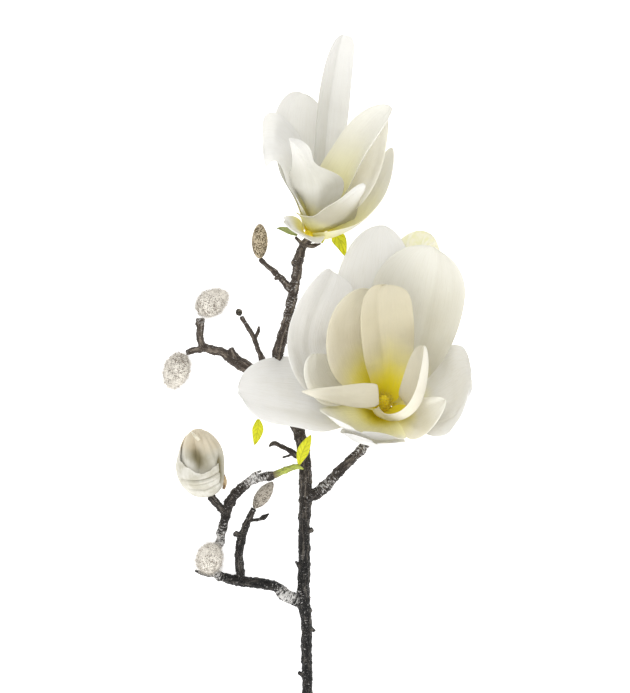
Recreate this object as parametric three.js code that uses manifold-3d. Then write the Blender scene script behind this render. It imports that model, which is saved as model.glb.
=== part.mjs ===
// A picked branch of saucer magnolia, laid down on a table.
// Millimetres. +X is to the right, +Y runs from the cut end to the top flower, +Z is up from the table.
import * as THREE from 'three';
import { mergeVertices } from 'three/addons/utils/BufferGeometryUtils.js';
import Module from 'manifold-3d';

const wasm = await Module();
wasm.setup();

// ---------------------------------------------------------------- driving dimensions

const GAP = 0.3; // clearance between two pieces that touch
const TEPAL_THICKNESS = 1.0;
const LEAF_THICKNESS = 0.8;
const TWIG_SIDES = 8;
const TWIG_STEPS_PER_SPAN = 2;
const BUD_SIDES = 12;
const BUD_ROWS = 9;

const TEPAL_COLUMNS = 8;
const TEPAL_ROWS = 8;
const LEAF_COLUMNS = 4;
const LEAF_ROWS = 8;

const LAST_ROW = 0.985; // the tip row stops just short of the point, so its width is not zero
const ROW_CROWDING = 1.35; // above 1, the rows of a blade crowd toward its tip
const CLAW_RISE = 1.3; // above 1, a blade's claw stays narrow for longer
const SHAPED_BY = 2.5; // a blade has its full roll and cup from 1 / 2.5 of its length
const SIDED_BY = 3; // and its own left and right widths from a third of it
const RIPPLES = 1.5; // waves along a margin
const RIPPLE_LEAN = 0.25; // how far the waves of the two margins are out of step

const HEART_BAND = 1.3; // half height of the band that each whorl of claws stands against
const HEART_FOOT = 3.2; // how far a receptacle reaches below its lowest whorl
const CONE_MIDDLE = 0.85; // the cone of carpels, as parts of its radius
const CONE_SHOULDER = 0.4;
const CONE_POINT = 2;

const LEAF_HALF_CLAW = 0.9; // half width of a leaf at its base
const LEAF_FOCUS = 400; // a leaf's inner face looks at a point this far above it

// ---------------------------------------------------------------- materials

const COLOURS = {
  bark: 0x3f3936,
  shoot: 0xa9b53c,
  leaf: 0xdde02c,
  paleLeaf: 0xe9ecb0,
  tepal: 0xf3f1ea,
  innerTepal: 0xe2dcc0,
  heart: 0xdcc828,
  fur: 0xe2dccd,
  tanFur: 0xb49b6f,
  budScale: 0xa98a5c,
};

function finish(colour, roughness) {
  return new THREE.MeshStandardMaterial({ color: colour, roughness, metalness: 0 });
}

// ---------------------------------------------------------------- closed skins

const vec = (x, y, z) => new THREE.Vector3(x, y, z);

function signedVolume(points, faces) {
  let sum = 0;
  for (const [a, b, c] of faces) {
    sum += points[a].dot(points[b].clone().cross(points[c]));
  }
  return sum / 6;
}

// Closes a ring by joining each point to the one across from it.
function zipFaces(start, count, flip) {
  const faces = [];
  for (let low = 0, high = count - 1; low + 1 < high; low += 1, high -= 1) {
    faces.push([start + low, start + low + 1, start + high]);
    if (low + 1 < high - 1) {
      faces.push([start + low + 1, start + high - 1, start + high]);
    }
  }
  return flip ? faces.map(([a, b, c]) => [a, c, b]) : faces;
}

// A closed skin over a row of rings that all have the same number of points.
function loft(rings) {
  const count = rings[0].length;
  const points = rings.flat();
  const faces = zipFaces(0, count, true);
  for (let row = 0; row + 1 < rings.length; row += 1) {
    for (let i = 0; i < count; i += 1) {
      const a = row * count + i;
      const b = row * count + ((i + 1) % count);
      faces.push([a, b, b + count]);
      faces.push([a, b + count, a + count]);
    }
  }
  faces.push(...zipFaces((rings.length - 1) * count, count, false));
  const outward = signedVolume(points, faces) > 0;
  const index = faces.flatMap(([a, b, c]) => (outward ? [a, b, c] : [a, c, b]));
  const geometry = new THREE.BufferGeometry();
  geometry.setAttribute(
    'position',
    new THREE.Float32BufferAttribute(points.flatMap((p) => p.toArray()), 3),
  );
  geometry.setIndex(index);
  geometry.computeVertexNormals();
  return geometry;
}

// ---------------------------------------------------------------- joining with booleans

function toSolid(geometry) {
  const bare = geometry.clone();
  bare.deleteAttribute('normal');
  bare.deleteAttribute('uv');
  const merged = mergeVertices(bare);
  return new wasm.Manifold(new wasm.Mesh({
    numProp: 3,
    vertProperties: new Float32Array(merged.attributes.position.array),
    triVerts: new Uint32Array(merged.index.array),
  }));
}

function toGeometry(solid) {
  const mesh = solid.getMesh();
  const geometry = new THREE.BufferGeometry();
  geometry.setAttribute('position', new THREE.BufferAttribute(mesh.vertProperties, 3));
  geometry.setIndex(new THREE.BufferAttribute(mesh.triVerts, 1));
  geometry.computeVertexNormals();
  return geometry;
}

function join(geometries) {
  const solids = geometries.map(toSolid);
  return toGeometry(solids.reduce((sum, solid) => sum.add(solid)));
}

// ---------------------------------------------------------------- twigs

// A tapered tube. Each stop of the route is [x, y, z, radius].
function twig(route) {
  const curve = new THREE.CatmullRomCurve3(route.map(([x, y, z]) => vec(x, y, z)), false, 'centripetal');
  const steps = (route.length - 1) * TWIG_STEPS_PER_SPAN;
  const rings = [];
  for (let step = 0; step <= steps; step += 1) {
    const t = step / steps;
    const centre = curve.getPoint(t);
    const along = curve.getTangent(t);
    const side = along.clone().cross(vec(0, 0, 1)).normalize();
    const up = side.clone().cross(along);
    const place = t * (route.length - 1);
    const before = Math.min(Math.floor(place), route.length - 2);
    const radius = THREE.MathUtils.lerp(route[before][3], route[before + 1][3], place - before);
    const ring = [];
    for (let i = 0; i < TWIG_SIDES; i += 1) {
      const angle = (2 * Math.PI * i) / TWIG_SIDES;
      ring.push(centre.clone()
        .addScaledVector(side, radius * Math.cos(angle))
        .addScaledVector(up, radius * Math.sin(angle)));
    }
    rings.push(ring);
  }
  return loft(rings);
}

const MAIN_STEM = [
  [-7, -229, 3.4, 3.4],
  [-6.5, -209, 4, 3.2],
  [-7, -183, 5, 3.2],
  [-7, -163, 6, 3.4],
  [-9, -147, 7, 3.9],
  [-8.5, -124, 8, 3.6],
  [-8.5, -100, 9, 3.5],
  [-7.5, -77, 10, 4],
  [-8.5, -52, 11, 3.7],
  [-12, -35, 11.5, 3.6],
  [-20, -14, 11.5, 3.6],
  [-26.5, 6, 11.5, 3.7],
  [-26, 18, 12, 3.5],
  [-20.5, 37, 13, 3],
  [-17, 53, 14, 3],
  [-13.5, 70, 16, 2.8],
  [-12.5, 79, 17.5, 2.9],
  [-8.5, 90, 20, 2.5],
  [-4.6, 93.4, 21.4, 2.3],
];

const LEFT_TWIG = [
  [-9, -150, 7, 3.3],
  [-21, -145.5, 6.5, 4.1],
  [-27, -140, 6, 3.3],
  [-39, -137.5, 5.5, 3.2],
  [-51, -136, 5, 3.1],
  [-61, -134, 4.5, 2.9],
  [-68, -131, 4, 2.9],
  [-69, -120, 3, 2.5],
  [-65.5, -110, 4.5, 2.7],
  [-63.5, -102, 7, 2.7],
  [-61.5, -93, 10, 2.8],
  [-58, -82, 13, 3],
  [-51, -73.5, 16, 2.9],
  [-44, -68, 18, 2.8],
  [-36, -65.5, 20, 2.6],
  [-29, -64, 21, 2.6],
];

const SIDE_TWIGS = [
  LEFT_TWIG,
  // to the slim grey bud
  [[-51, -135, 5, 2.7], [-52, -126, 6, 2.5], [-52, -114, 8, 2.4], [-50, -105, 10, 2.4],
    [-47, -97, 12, 2.1], [-42.5, -87, 14.5, 1.8]],
  // to the opening bud
  [[-61, -90, 11, 2.4], [-66, -84.5, 13, 2.2], [-71.2, -78.6, 15.8, 2.3]],
  // to the large bloom
  [[-7, -80, 10, 3], [3, -74.5, 11, 3.6], [11.5, -65.5, 12.5, 3.3], [20, -57, 14, 2.8],
    [29, -48, 14.5, 2.8], [37, -37, 13, 2.8], [41.6, -26.7, 12.6, 3.2]],
  // the hooked twig
  [[-9, -53, 11, 2.2], [-14, -51, 13, 1.8], [-19, -47.5, 15, 1.5], [-25, -44.5, 16, 1.2],
    [-28.5, -42.7, 16.5, 1.4], [-32, -45, 16.5, 0.5]],
  // to the round bud
  [[-25, 2, 11.5, 2.2], [-31, 6, 12, 1.9], [-36.5, 13, 12.5, 1.8], [-39.5, 20, 13, 1.3],
    [-42, 27, 13.5, 1.3], [-46, 34, 14, 1.2], [-50.6, 41.4, 14.5, 1.4]],
  // to the pair of furry buds
  [[-25, 2, 11.5, 3], [-38, 4.5, 11, 3.5], [-47, 7.5, 10.5, 3.8], [-55, 12.5, 10, 3.6],
    [-62, 17, 9.5, 2.7], [-70, 19.5, 9.5, 2.5], [-76, 21, 9.5, 2.4]],
  [[-76.5, 20, 9.5, 2.4], [-78.3, 27, 9.5, 2.2], [-78.6, 34, 9.5, 2.2], [-78.5, 40.5, 9.5, 2.7]],
  [[-75, 20.5, 9.5, 2.2], [-82, 19.5, 9.5, 1.8], [-87.5, 17.5, 9.5, 1.7]],
  // to the slim brown bud
  [[-17, 59, 15, 2.4], [-21, 64, 15.5, 1.9], [-28, 71, 16.5, 1.6], [-38, 80, 18.1, 1.4]],
  // the hidden spur that carries the hanging leaf
  [[-19, -16, 11, 1.8], [-28, -21, 10, 1.3], [-38.5, -26, 9, 1]],
];

const SPURS = [
  [[-7, -166, 6, 2], [-1.5, -169.5, 6.5, 1.1]],
  [[-7.5, -200, 4.5, 2], [-12.5, -197.5, 5, 0.9]],
  [[-9, -129, 8, 2], [-14.3, -122.5, 9, 0.7]],
  [[-8, -103, 9, 2], [-3, -101, 9.5, 1.4]],
  [[-8.5, -157, 6.5, 2], [-3.5, -155, 7, 1.5]],
  [[-12, -37, 12, 2], [-18.5, -30.5, 13, 0.6]],
  [[-19, 38, 13.5, 1.8], [-12.5, 46, 15, 0.6]],
  [[-12.8, 77, 17, 2], [-16.6, 77.5, 17.5, 1.5]],
  [[-50.5, -106, 10, 1.6], [-55, -103, 11, 1.8]],
  [[-45.5, -95, 12.5, 0.9], [-39, -94, 13.5, 0.8], [-35.5, -92.5, 14, 1.5], [-32, -90, 14.5, 0.4]],
  [[-16, -50, 13.5, 0.8], [-19.5, -51.5, 14, 0.7], [-23, -52.5, 14.5, 0.5]],
  [[-41.5, 27, 13.5, 0.9], [-39.5, 31, 14, 0.9], [-38.8, 35, 14.5, 0.6]],
  [[-54, 12, 10.5, 2.4], [-57.8, 20.3, 12.5, 1.8]],
  [[-25.5, 68, 16, 1.2], [-28.3, 66.7, 16, 0.8]],
  [[-48, -69, 17.5, 1.4], [-42, -63.5, 20.5, 1], [-37, -61, 22, 0.5]],
  // scars below the top flower
  [[-9, 89.5, 20, 1.4], [-14.5, 94.5, 20, 0.8]],
  [[-9, 89, 20, 1.4], [-3, 88.8, 20.5, 1.2], [2.5, 90.3, 21, 0.5]],
];

// ---------------------------------------------------------------- tepals and leaves

// The frame of a flower: where it is seated, and its axis.
class Flower {
  constructor(seat, axis) {
    this.seat = seat;
    this.axis = axis.clone().normalize();
    this.right = vec(1, 0, 0).addScaledVector(this.axis, -this.axis.x).normalize();
    this.back = this.axis.clone().cross(this.right);
  }

  outward(degrees) {
    const angle = THREE.MathUtils.degToRad(degrees);
    return this.right.clone().multiplyScalar(Math.cos(angle))
      .addScaledVector(this.back, Math.sin(angle));
  }

  point(degrees, radius, height) {
    return this.seat.clone()
      .addScaledVector(this.outward(degrees), radius)
      .addScaledVector(this.axis, height);
  }
}

// Half width along a blade, from 0 to 1 of its full half width.
function bladeWidth(t, { claw, widest, tip }) {
  if (t < widest) {
    return claw + (1 - claw) * Math.sin((Math.PI / 2) * (t / widest)) ** CLAW_RISE;
  }
  const past = (t - widest) / (1 - widest);
  return (1 - past ** tip) ** (1 / tip);
}

// One thin blade along a midrib, as a closed skin.
// cup is the half angle of its section, curl turns its margins outward, and wave ripples them.
function blade(midrib, focus, shape) {
  const { rows, columns, thickness, halfWidth } = shape;
  const faceOf = (sign) => (t, u) => {
    const centre = midrib.getPoint(t);
    const along = midrib.getTangent(t);
    const side = along.clone().cross(focus.clone().sub(centre)).normalize();
    const inward = side.clone().cross(along);
    const roll = THREE.MathUtils.degToRad(shape.roll) * Math.min(1, SHAPED_BY * t);
    const across = side.clone().multiplyScalar(Math.cos(roll)).addScaledVector(inward, Math.sin(roll));
    const lift = inward.clone().multiplyScalar(Math.cos(roll)).addScaledVector(side, -Math.sin(roll));
    const reach = u < 0 ? shape.left : shape.right;
    const sided = THREE.MathUtils.lerp(1, reach, Math.min(1, SIDED_BY * t));
    const width = halfWidth * bladeWidth(t, shape) * sided;
    const cup = THREE.MathUtils.lerp(shape.clawCup, shape.cup, Math.min(1, SHAPED_BY * t));
    const bend = cup * u;
    const curl = (u < 0 ? shape.curlLeft : shape.curlRight) * t * width * Math.abs(u) ** 3;
    const ripple = shape.wave * t * u * u * Math.sin(2 * Math.PI * (RIPPLES * t + RIPPLE_LEAN * u));
    const half = (sign * thickness) / 2;
    return centre.clone()
      .addScaledVector(across, (width / cup) * Math.sin(bend) - half * Math.sin(bend))
      .addScaledVector(lift, (width / cup) * (1 - Math.cos(bend)) - curl + ripple + half * Math.cos(bend));
  };
  const inner = faceOf(1);
  const outer = faceOf(-1);
  const rings = [];
  for (let row = 0; row <= rows; row += 1) {
    const t = LAST_ROW * (1 - (1 - row / rows) ** ROW_CROWDING);
    const ring = [];
    for (let column = 0; column <= columns; column += 1) {
      ring.push(inner(t, (2 * column) / columns - 1));
    }
    for (let column = columns; column >= 0; column -= 1) {
      ring.push(outer(t, (2 * column) / columns - 1));
    }
    rings.push(ring);
  }
  return loft(rings);
}

const TEPAL = {
  rows: TEPAL_ROWS,
  columns: TEPAL_COLUMNS,
  thickness: TEPAL_THICKNESS,
  widest: 0.62,
  tip: 2,
  cup: 0.5,
  roll: 0,
  left: 1,
  right: 1,
  curlLeft: 0,
  curlRight: 0,
  wave: 0,
};

const LEAF = {
  ...TEPAL,
  rows: LEAF_ROWS,
  columns: LEAF_COLUMNS,
  thickness: LEAF_THICKNESS,
  widest: 0.45,
  tip: 1.35,
  cup: 0.5,
  clawCup: 0.5,
};

// The rings that the claws stand on, from the outermost whorl to the innermost.
const LARGE_WHORLS = [
  { radius: 8, height: 0, halfClaw: 4 },
  { radius: 6.4, height: 3.5, halfClaw: 4 },
  { radius: 4.9, height: 7, halfClaw: 2.2 },
];
const SMALL_WHORLS = [
  { radius: 6, height: 0, halfClaw: 4.2 },
  { radius: 4.7, height: 3, halfClaw: 3.4 },
  { radius: 3.5, height: 6, halfClaw: 2.4 },
];

// A tepal leaves its ring at an opening angle from the flower's axis, then bends past bow to its tip.
function tepal(flower, whorls, focusHeight, spec) {
  const whorl = whorls[spec.whorl];
  const start = flower.point(spec.at, whorl.radius, whorl.height);
  const open = THREE.MathUtils.degToRad(spec.open);
  const first = start.clone()
    .addScaledVector(flower.outward(spec.at), spec.reach * Math.sin(open))
    .addScaledVector(flower.axis, spec.reach * Math.cos(open));
  const midrib = new THREE.CubicBezierCurve3(start, first, vec(...spec.bow), vec(...spec.end));
  const focus = flower.point(0, 0, focusHeight);
  return blade(midrib, focus, {
    ...TEPAL,
    claw: whorl.halfClaw / spec.halfWidth,
    clawCup: whorl.halfClaw / whorl.radius,
    ...spec,
  });
}

const LARGE_FLOWER = new Flower(vec(43, -22, 17), vec(0.12, 0.62, 0.77));
const LARGE_FOCUS = 90;
const SMALL_FLOWER = new Flower(vec(-3, 97, 23), vec(0.36, 0.85, 0.38));
const SMALL_FOCUS = 70;

// whorl, seat angle, opening angle, length of the first bend, second bend, tip, half width.
const LARGE_TEPALS = {
  back: { whorl: 0, at: 95, open: 62, reach: 30, bow: [40, 60, 6], end: [43, 103, 13],
    halfWidth: 25, cup: 0.3 },
  left: { whorl: 0, at: 190, open: 72, reach: 34, bow: [-22, -8, 19], end: [-53, -8, 38],
    halfWidth: 25, cup: 0.45, left: 1.22, widest: 0.48 },
  right: { whorl: 0, at: 345, open: 70, reach: 32, bow: [94, -20, 34], end: [102, -2, 61],
    halfWidth: 28, cup: 0.5, left: 1.1, tip: 2.6 },
  front: { whorl: 0, at: 262, open: 66, reach: 32, bow: [34, -46, 56], end: [38, -40, 82],
    halfWidth: 28, cup: 0.7 },
  back_right: { whorl: 1, at: 50, open: 56, reach: 34, bow: [64, 50, 14], end: [76, 88, 30],
    halfWidth: 33, cup: 0.5, widest: 0.7 },
  back_left: { whorl: 1, at: 145, open: 62, reach: 34, bow: [-20, 32, 29], end: [9, 74, 30],
    halfWidth: 24, cup: 0.5, roll: 6 },
  front_left: { whorl: 1, at: 250, open: 58, reach: 30, bow: [24, -38, 54], end: [28, -33, 78],
    halfWidth: 32, cup: 0.75 },
  front_right: { whorl: 1, at: 331, open: 64, reach: 30, bow: [76, -35, 46], end: [83, -14, 72],
    halfWidth: 23, cup: 0.6 },
  inner_back: { whorl: 2, at: 70, open: 25, reach: 26, bow: [45, 42, 59], end: [49, 62, 60],
    halfWidth: 19.5, cup: 0.6 },
  inner_back_left: { whorl: 2, at: 133, open: 40, reach: 28, bow: [10, 34, 40], end: [25, 58, 40],
    halfWidth: 21, cup: 0.6, left: 1.2 },
  inner_left: { whorl: 2, at: 200, open: 46, reach: 24, bow: [8, -2, 44], end: [-9, 6, 51],
    halfWidth: 21, cup: 0.8, roll: -16, tip: 3.2, widest: 0.72, curlLeft: -0.25 },
  inner_right: { whorl: 2, at: 345, open: 46, reach: 24, bow: [67, -17, 42], end: [75, 1, 52],
    halfWidth: 24, cup: 0.8, roll: 4, tip: 2.8, widest: 0.68, left: 0.85, curlRight: -0.3 },
};

const SMALL_TEPALS = {
  back: { whorl: 0, at: 130, open: 30, reach: 28, bow: [-20, 158, 9], end: [-12, 192, 9],
    halfWidth: 19, cup: 0.3 },
  outer_right: { whorl: 0, at: 315, open: 62, reach: 26, bow: [46, 116, 26], end: [50, 153, 34],
    halfWidth: 13, cup: 0.6 },
  outer_front: { whorl: 0, at: 235, open: 66, reach: 14, bow: [-12, 97, 42], end: [-21, 107, 48],
    halfWidth: 15, cup: 0.8 },
  tall: { whorl: 1, at: 78, open: 20, reach: 30, bow: [9, 180, 9], end: [18, 230, 16],
    halfWidth: 13.5, cup: 0.5 },
  left: { whorl: 1, at: 165, open: 36, reach: 26, bow: [-13, 155, 31], end: [-36, 164, 33],
    halfWidth: 22, cup: 0.3, tip: 4, widest: 0.72, roll: 26, left: 0.9, right: 0.8 },
  right: { whorl: 1, at: 350, open: 40, reach: 26, bow: [36, 138, 30], end: [45, 176, 36],
    halfWidth: 15, cup: 0.5 },
  front: { whorl: 1, at: 272, open: 50, reach: 20, bow: [13, 111, 59], end: [31, 128, 63],
    halfWidth: 15, cup: 0.7 },
  upper_right: { whorl: 2, at: 40, open: 20, reach: 26, bow: [22, 154, 38], end: [49, 182, 46],
    halfWidth: 16, cup: 0.6, right: 0.6 },
  front_left: { whorl: 2, at: 225, open: 24, reach: 24, bow: [2, 138, 60], end: [-16, 160, 62],
    halfWidth: 18, cup: 0.6, tip: 1.2, widest: 0.5, roll: -48, left: 1.15 },
};

// Each leaf: base, two bends, tip, half width.
const LEAVES = {
  leaf_under_small_bloom: { path: [[2.9, 90.7, 20.7], [8, 98, 16], [15, 96, 13], [18.5, 82, 11]],
    halfWidth: 5 },
  leaf_hanging: { path: [[-39.5, -27, 8.6], [-39, -32, 9], [-40, -38, 8], [-42, -44.5, 7]],
    halfWidth: 4 },
  leaf_shoot: { path: [[-12, -57, 22.6], [-10.5, -49, 24], [-7, -43, 26], [-4, -37, 25]],
    halfWidth: 4.2 },
  leaf_scale: { path: [[-13, 96, 20], [-17, 98, 19], [-22, 101, 18], [-27, 100.5, 17]],
    halfWidth: 2.2 },
  leaf_behind_large_bloom: { path: [[41, -31, 9.2], [49, 0, -2], [64, 60, 0], [77, 97, 4]],
    halfWidth: 17 },
};

function leaf(spec) {
  const [start, first, second, end] = spec.path.map((place) => vec(...place));
  const midrib = new THREE.CubicBezierCurve3(start, first, second, end);
  const middle = midrib.getPoint(0.5);
  const focus = vec(middle.x, middle.y, middle.z + LEAF_FOCUS);
  const claw = LEAF_HALF_CLAW / spec.halfWidth;
  return blade(midrib, focus, { ...LEAF, claw, halfWidth: spec.halfWidth });
}

// ---------------------------------------------------------------- turned shapes

// Stands a shape that was turned about +Y on a base point, pointing at a tip.
function aim(mesh, base, tip) {
  mesh.position.copy(base);
  mesh.quaternion.setFromUnitVectors(vec(0, 1, 0), tip.clone().sub(base).normalize());
  return mesh;
}

// Egg-shaped outline; fullness below 1 makes a blunter bud, and heavy moves its widest place.
function eggProfile(length, radius, fullness, heavy) {
  const profile = [];
  for (let row = 0; row <= BUD_ROWS; row += 1) {
    const angle = (Math.PI * row) / BUD_ROWS;
    const height = (1 - Math.cos(angle)) / 2;
    const width = Math.sin(Math.PI * height ** heavy) ** fullness;
    const onAxis = row === 0 || row === BUD_ROWS;
    profile.push(new THREE.Vector2(onAxis ? 0 : radius * width, length * height));
  }
  return profile;
}

// ---------------------------------------------------------------- the pieces

const branch = new THREE.Group();

function add(name, geometry, material) {
  const mesh = new THREE.Mesh(geometry, material);
  mesh.name = name;
  branch.add(mesh);
  return mesh;
}

function addWood() {
  const routes = [MAIN_STEM, ...SIDE_TWIGS, ...SPURS];
  add('woody_branch', join(routes.map(twig)), finish(COLOURS.bark, 0.85));
}

const SHOOT = [
  [-28.5, -63.9, 21.1, 2.5],
  [-20, -60.2, 22.6, 2.2],
  [-13.5, -58.3, 22.8, 1.8],
  [-9, -59.8, 22.6, 0.6],
];

function addShoot() {
  add('green_shoot', twig(SHOOT), finish(COLOURS.shoot, 0.6));
}

function addLeaves() {
  for (const [name, spec] of Object.entries(LEAVES)) {
    const pale = name === 'leaf_behind_large_bloom';
    add(name, leaf(spec), finish(pale ? COLOURS.paleLeaf : COLOURS.leaf, 0.55));
  }
}

// Base, tip, radius, fullness, widest place, and the colour of the fur.
const BUDS = {
  furry_bud_upper: { base: [-79.4, 44.2, 11], tip: [-60.6, 56, 13], radius: 9.6, fullness: 0.62,
    heavy: 0.85, colour: COLOURS.fur },
  furry_bud_left: { base: [-88.4, 17, 9.7], tip: [-97.6, -6.6, 9.4], radius: 9.6, fullness: 0.62,
    heavy: 1, colour: COLOURS.fur },
  furry_bud_lower: { base: [-75, -129.6, 14.4], tip: [-68.6, -110.4, 18], radius: 10.6, fullness: 0.6,
    heavy: 1, colour: COLOURS.fur },
  slim_bud_lower: { base: [-42.3, -86.6, 14.8], tip: [-29.4, -68.6, 18], radius: 5.4, fullness: 0.8,
    heavy: 0.95, colour: COLOURS.fur },
  slim_bud_upper: { base: [-38.3, 80.4, 18.3], tip: [-38, 103.5, 20], radius: 5.5, fullness: 0.75,
    heavy: 0.9, colour: COLOURS.tanFur },
  round_bud: { base: [-51.1, 42.2, 14.7], tip: [-53.2, 46.9, 15.4], radius: 2.4, fullness: 0.6,
    heavy: 1, colour: COLOURS.budScale },
};

function addBuds() {
  for (const [name, bud] of Object.entries(BUDS)) {
    const base = vec(...bud.base);
    const tip = vec(...bud.tip);
    const profile = eggProfile(base.distanceTo(tip), bud.radius, bud.fullness, bud.heavy);
    const mesh = add(name, new THREE.LatheGeometry(profile, BUD_SIDES), finish(bud.colour, 0.95));
    aim(mesh, base, tip);
  }
}

// The receptacle steps inward at each whorl and ends in the cone of carpels.
function addHeart(name, flower, whorls, cone) {
  const inset = TEPAL_THICKNESS / 2 + GAP;
  const profile = [new THREE.Vector2(0, -HEART_FOOT), new THREE.Vector2(whorls[0].radius / 2, -HEART_FOOT)];
  for (const whorl of whorls) {
    profile.push(new THREE.Vector2(whorl.radius - inset, whorl.height - HEART_BAND));
    profile.push(new THREE.Vector2(whorl.radius - inset, whorl.height + HEART_BAND));
  }
  profile.push(new THREE.Vector2(cone.radius, cone.foot));
  profile.push(new THREE.Vector2(cone.radius * CONE_MIDDLE, (cone.foot + cone.top) / 2));
  profile.push(new THREE.Vector2(cone.radius * CONE_SHOULDER, cone.top - CONE_POINT));
  profile.push(new THREE.Vector2(0, cone.top));
  const mesh = add(name, new THREE.LatheGeometry(profile, BUD_SIDES), finish(COLOURS.heart, 0.7));
  aim(mesh, flower.seat, flower.seat.clone().add(flower.axis));
}

function addBloom(prefix, flower, whorls, focusHeight, specs) {
  for (const [name, spec] of Object.entries(specs)) {
    const colour = spec.whorl === 2 ? COLOURS.innerTepal : COLOURS.tepal;
    add(`${prefix}_tepal_${name}`, tepal(flower, whorls, focusHeight, spec), finish(colour, 0.5));
  }
}

// ---------------------------------------------------------------- the opening bud

const OPENING_BUD = {
  base: vec(-71.6, -78.1, 16.4),
  tip: vec(-80.5, -33.5, 19),
  radius: 14.2,
  layer: TEPAL_THICKNESS + 2 * GAP,
  fullness: 0.6,
  heavy: 0.86,
  heartLength: 0.95,
  wrapFoot: 0.05,
};

const WRAP_OUTLINE = { claw: 0.55, widest: 0.45, tip: 2.2 };

// Wrapped tepals: middle angle about the bud's axis, half angle, how many layers out, and height.
const WRAPS = {
  back: { at: 90, spread: 105, layer: 1, top: 0.96 },
  right: { at: 325, spread: 92, layer: 2, top: 0.99 },
  left: { at: 205, spread: 88, layer: 3, top: 0.93 },
};

function budRadius(height, layer) {
  const { radius, heavy, fullness } = OPENING_BUD;
  const width = Math.sin(Math.PI * height ** heavy) ** fullness;
  const core = radius - OPENING_BUD.layer * Object.keys(WRAPS).length;
  return core * width + OPENING_BUD.layer * layer;
}

// One wrapped tepal about +Y, as a closed skin.
function wrap({ at, spread, layer, top }) {
  const length = OPENING_BUD.base.distanceTo(OPENING_BUD.tip);
  const rings = [];
  for (let row = 0; row <= TEPAL_ROWS; row += 1) {
    const t = row / TEPAL_ROWS;
    const height = THREE.MathUtils.lerp(OPENING_BUD.wrapFoot, top, t);
    const reach = bladeWidth(Math.min(t, LAST_ROW), WRAP_OUTLINE);
    const ring = [];
    for (const side of [1, -1]) {
      const radius = budRadius(height, layer) + (side * TEPAL_THICKNESS) / 2;
      for (let column = 0; column <= TEPAL_COLUMNS; column += 1) {
        const u = side * ((2 * column) / TEPAL_COLUMNS - 1);
        const angle = THREE.MathUtils.degToRad(at + spread * reach * u);
        ring.push(vec(radius * Math.cos(angle), length * height, -radius * Math.sin(angle)));
      }
    }
    rings.push(ring);
  }
  return loft(rings);
}

function addOpeningBud() {
  const { base, tip, radius, layer, fullness, heavy, heartLength } = OPENING_BUD;
  const heartRadius = radius - layer * 2 - GAP - TEPAL_THICKNESS;
  const profile = eggProfile(base.distanceTo(tip) * heartLength, heartRadius, fullness, heavy);
  const heart = new THREE.LatheGeometry(profile, BUD_SIDES);
  aim(add('opening_bud_heart', heart, finish(COLOURS.innerTepal, 0.7)), base, tip);
  for (const [name, spec] of Object.entries(WRAPS)) {
    aim(add(`opening_bud_tepal_${name}`, wrap(spec), finish(COLOURS.tepal, 0.6)), base, tip);
  }
}

addWood();
addShoot();
addLeaves();
addBuds();
addOpeningBud();
addHeart('large_bloom_heart', LARGE_FLOWER, LARGE_WHORLS, { radius: 3.6, foot: 11, top: 26 });
addHeart('small_bloom_heart', SMALL_FLOWER, SMALL_WHORLS, { radius: 2.4, foot: 9, top: 22 });
addBloom('large', LARGE_FLOWER, LARGE_WHORLS, LARGE_FOCUS, LARGE_TEPALS);
addBloom('small', SMALL_FLOWER, SMALL_WHORLS, SMALL_FOCUS, SMALL_TEPALS);

export default branch;
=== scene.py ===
"""A cut branch of saucer magnolia, lying on a pale floor.

Lengths in the classes are millimetres, and become metres when a piece is finished. +X is to the
right, +Y runs from the cut end to the top flower, and +Z is up from the floor.
"""

from __future__ import annotations

import logging
import math
import random
from dataclasses import dataclass, replace
from enum import Enum
from typing import NamedTuple, Sequence, Union

import bmesh
import bpy
from mathutils import Matrix, Vector, kdtree, noise

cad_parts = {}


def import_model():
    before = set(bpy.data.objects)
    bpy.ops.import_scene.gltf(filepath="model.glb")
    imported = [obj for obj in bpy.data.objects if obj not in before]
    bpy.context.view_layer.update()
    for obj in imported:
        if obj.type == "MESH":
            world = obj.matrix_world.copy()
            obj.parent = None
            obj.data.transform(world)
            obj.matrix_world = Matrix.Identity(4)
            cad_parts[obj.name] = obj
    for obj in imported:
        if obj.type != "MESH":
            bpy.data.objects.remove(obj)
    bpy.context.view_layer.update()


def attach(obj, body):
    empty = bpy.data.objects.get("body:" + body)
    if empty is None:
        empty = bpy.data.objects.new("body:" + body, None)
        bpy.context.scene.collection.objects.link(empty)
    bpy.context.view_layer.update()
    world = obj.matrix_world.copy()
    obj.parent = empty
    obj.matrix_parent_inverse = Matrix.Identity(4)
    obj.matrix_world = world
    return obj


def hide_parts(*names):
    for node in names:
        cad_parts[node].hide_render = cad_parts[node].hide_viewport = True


log = logging.getLogger("magnolia")

MM = 0.001
BODY = "root"
UP = Vector((0.0, 0.0, 1.0))
ODD_WAY = Vector((0.31, 0.74, 0.59))

Colour = tuple[float, float, float]
Place = tuple[float, float, float]
Socket = bpy.types.NodeSocket
Feed = Union[Socket, float, Sequence[float]]
Feeds = dict[Union[str, int], Feed]


# ---------------------------------------------------------------- small sums


def lerp(low: float, high: float, part: float) -> float:
    """Goes from low to high as part goes from 0 to 1."""
    return low + (high - low) * part


def eased(value: float, start: float = 0.0, stop: float = 1.0) -> float:
    """Rises smoothly from 0 at start to 1 at stop."""
    part = min(1.0, max(0.0, (value - start) / (stop - start)))
    return part * part * (3.0 - 2.0 * part)


def hump(value: float, centre: float, span: float) -> float:
    """A bell curve that is 1 at centre and fades over span."""
    return math.exp(-(((value - centre) / span) ** 2))


def away_from(angle: float, middle: float) -> float:
    """How far an angle lies from another, from -180 to 180 degrees."""
    return (angle - middle + 180.0) % 360.0 - 180.0


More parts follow.
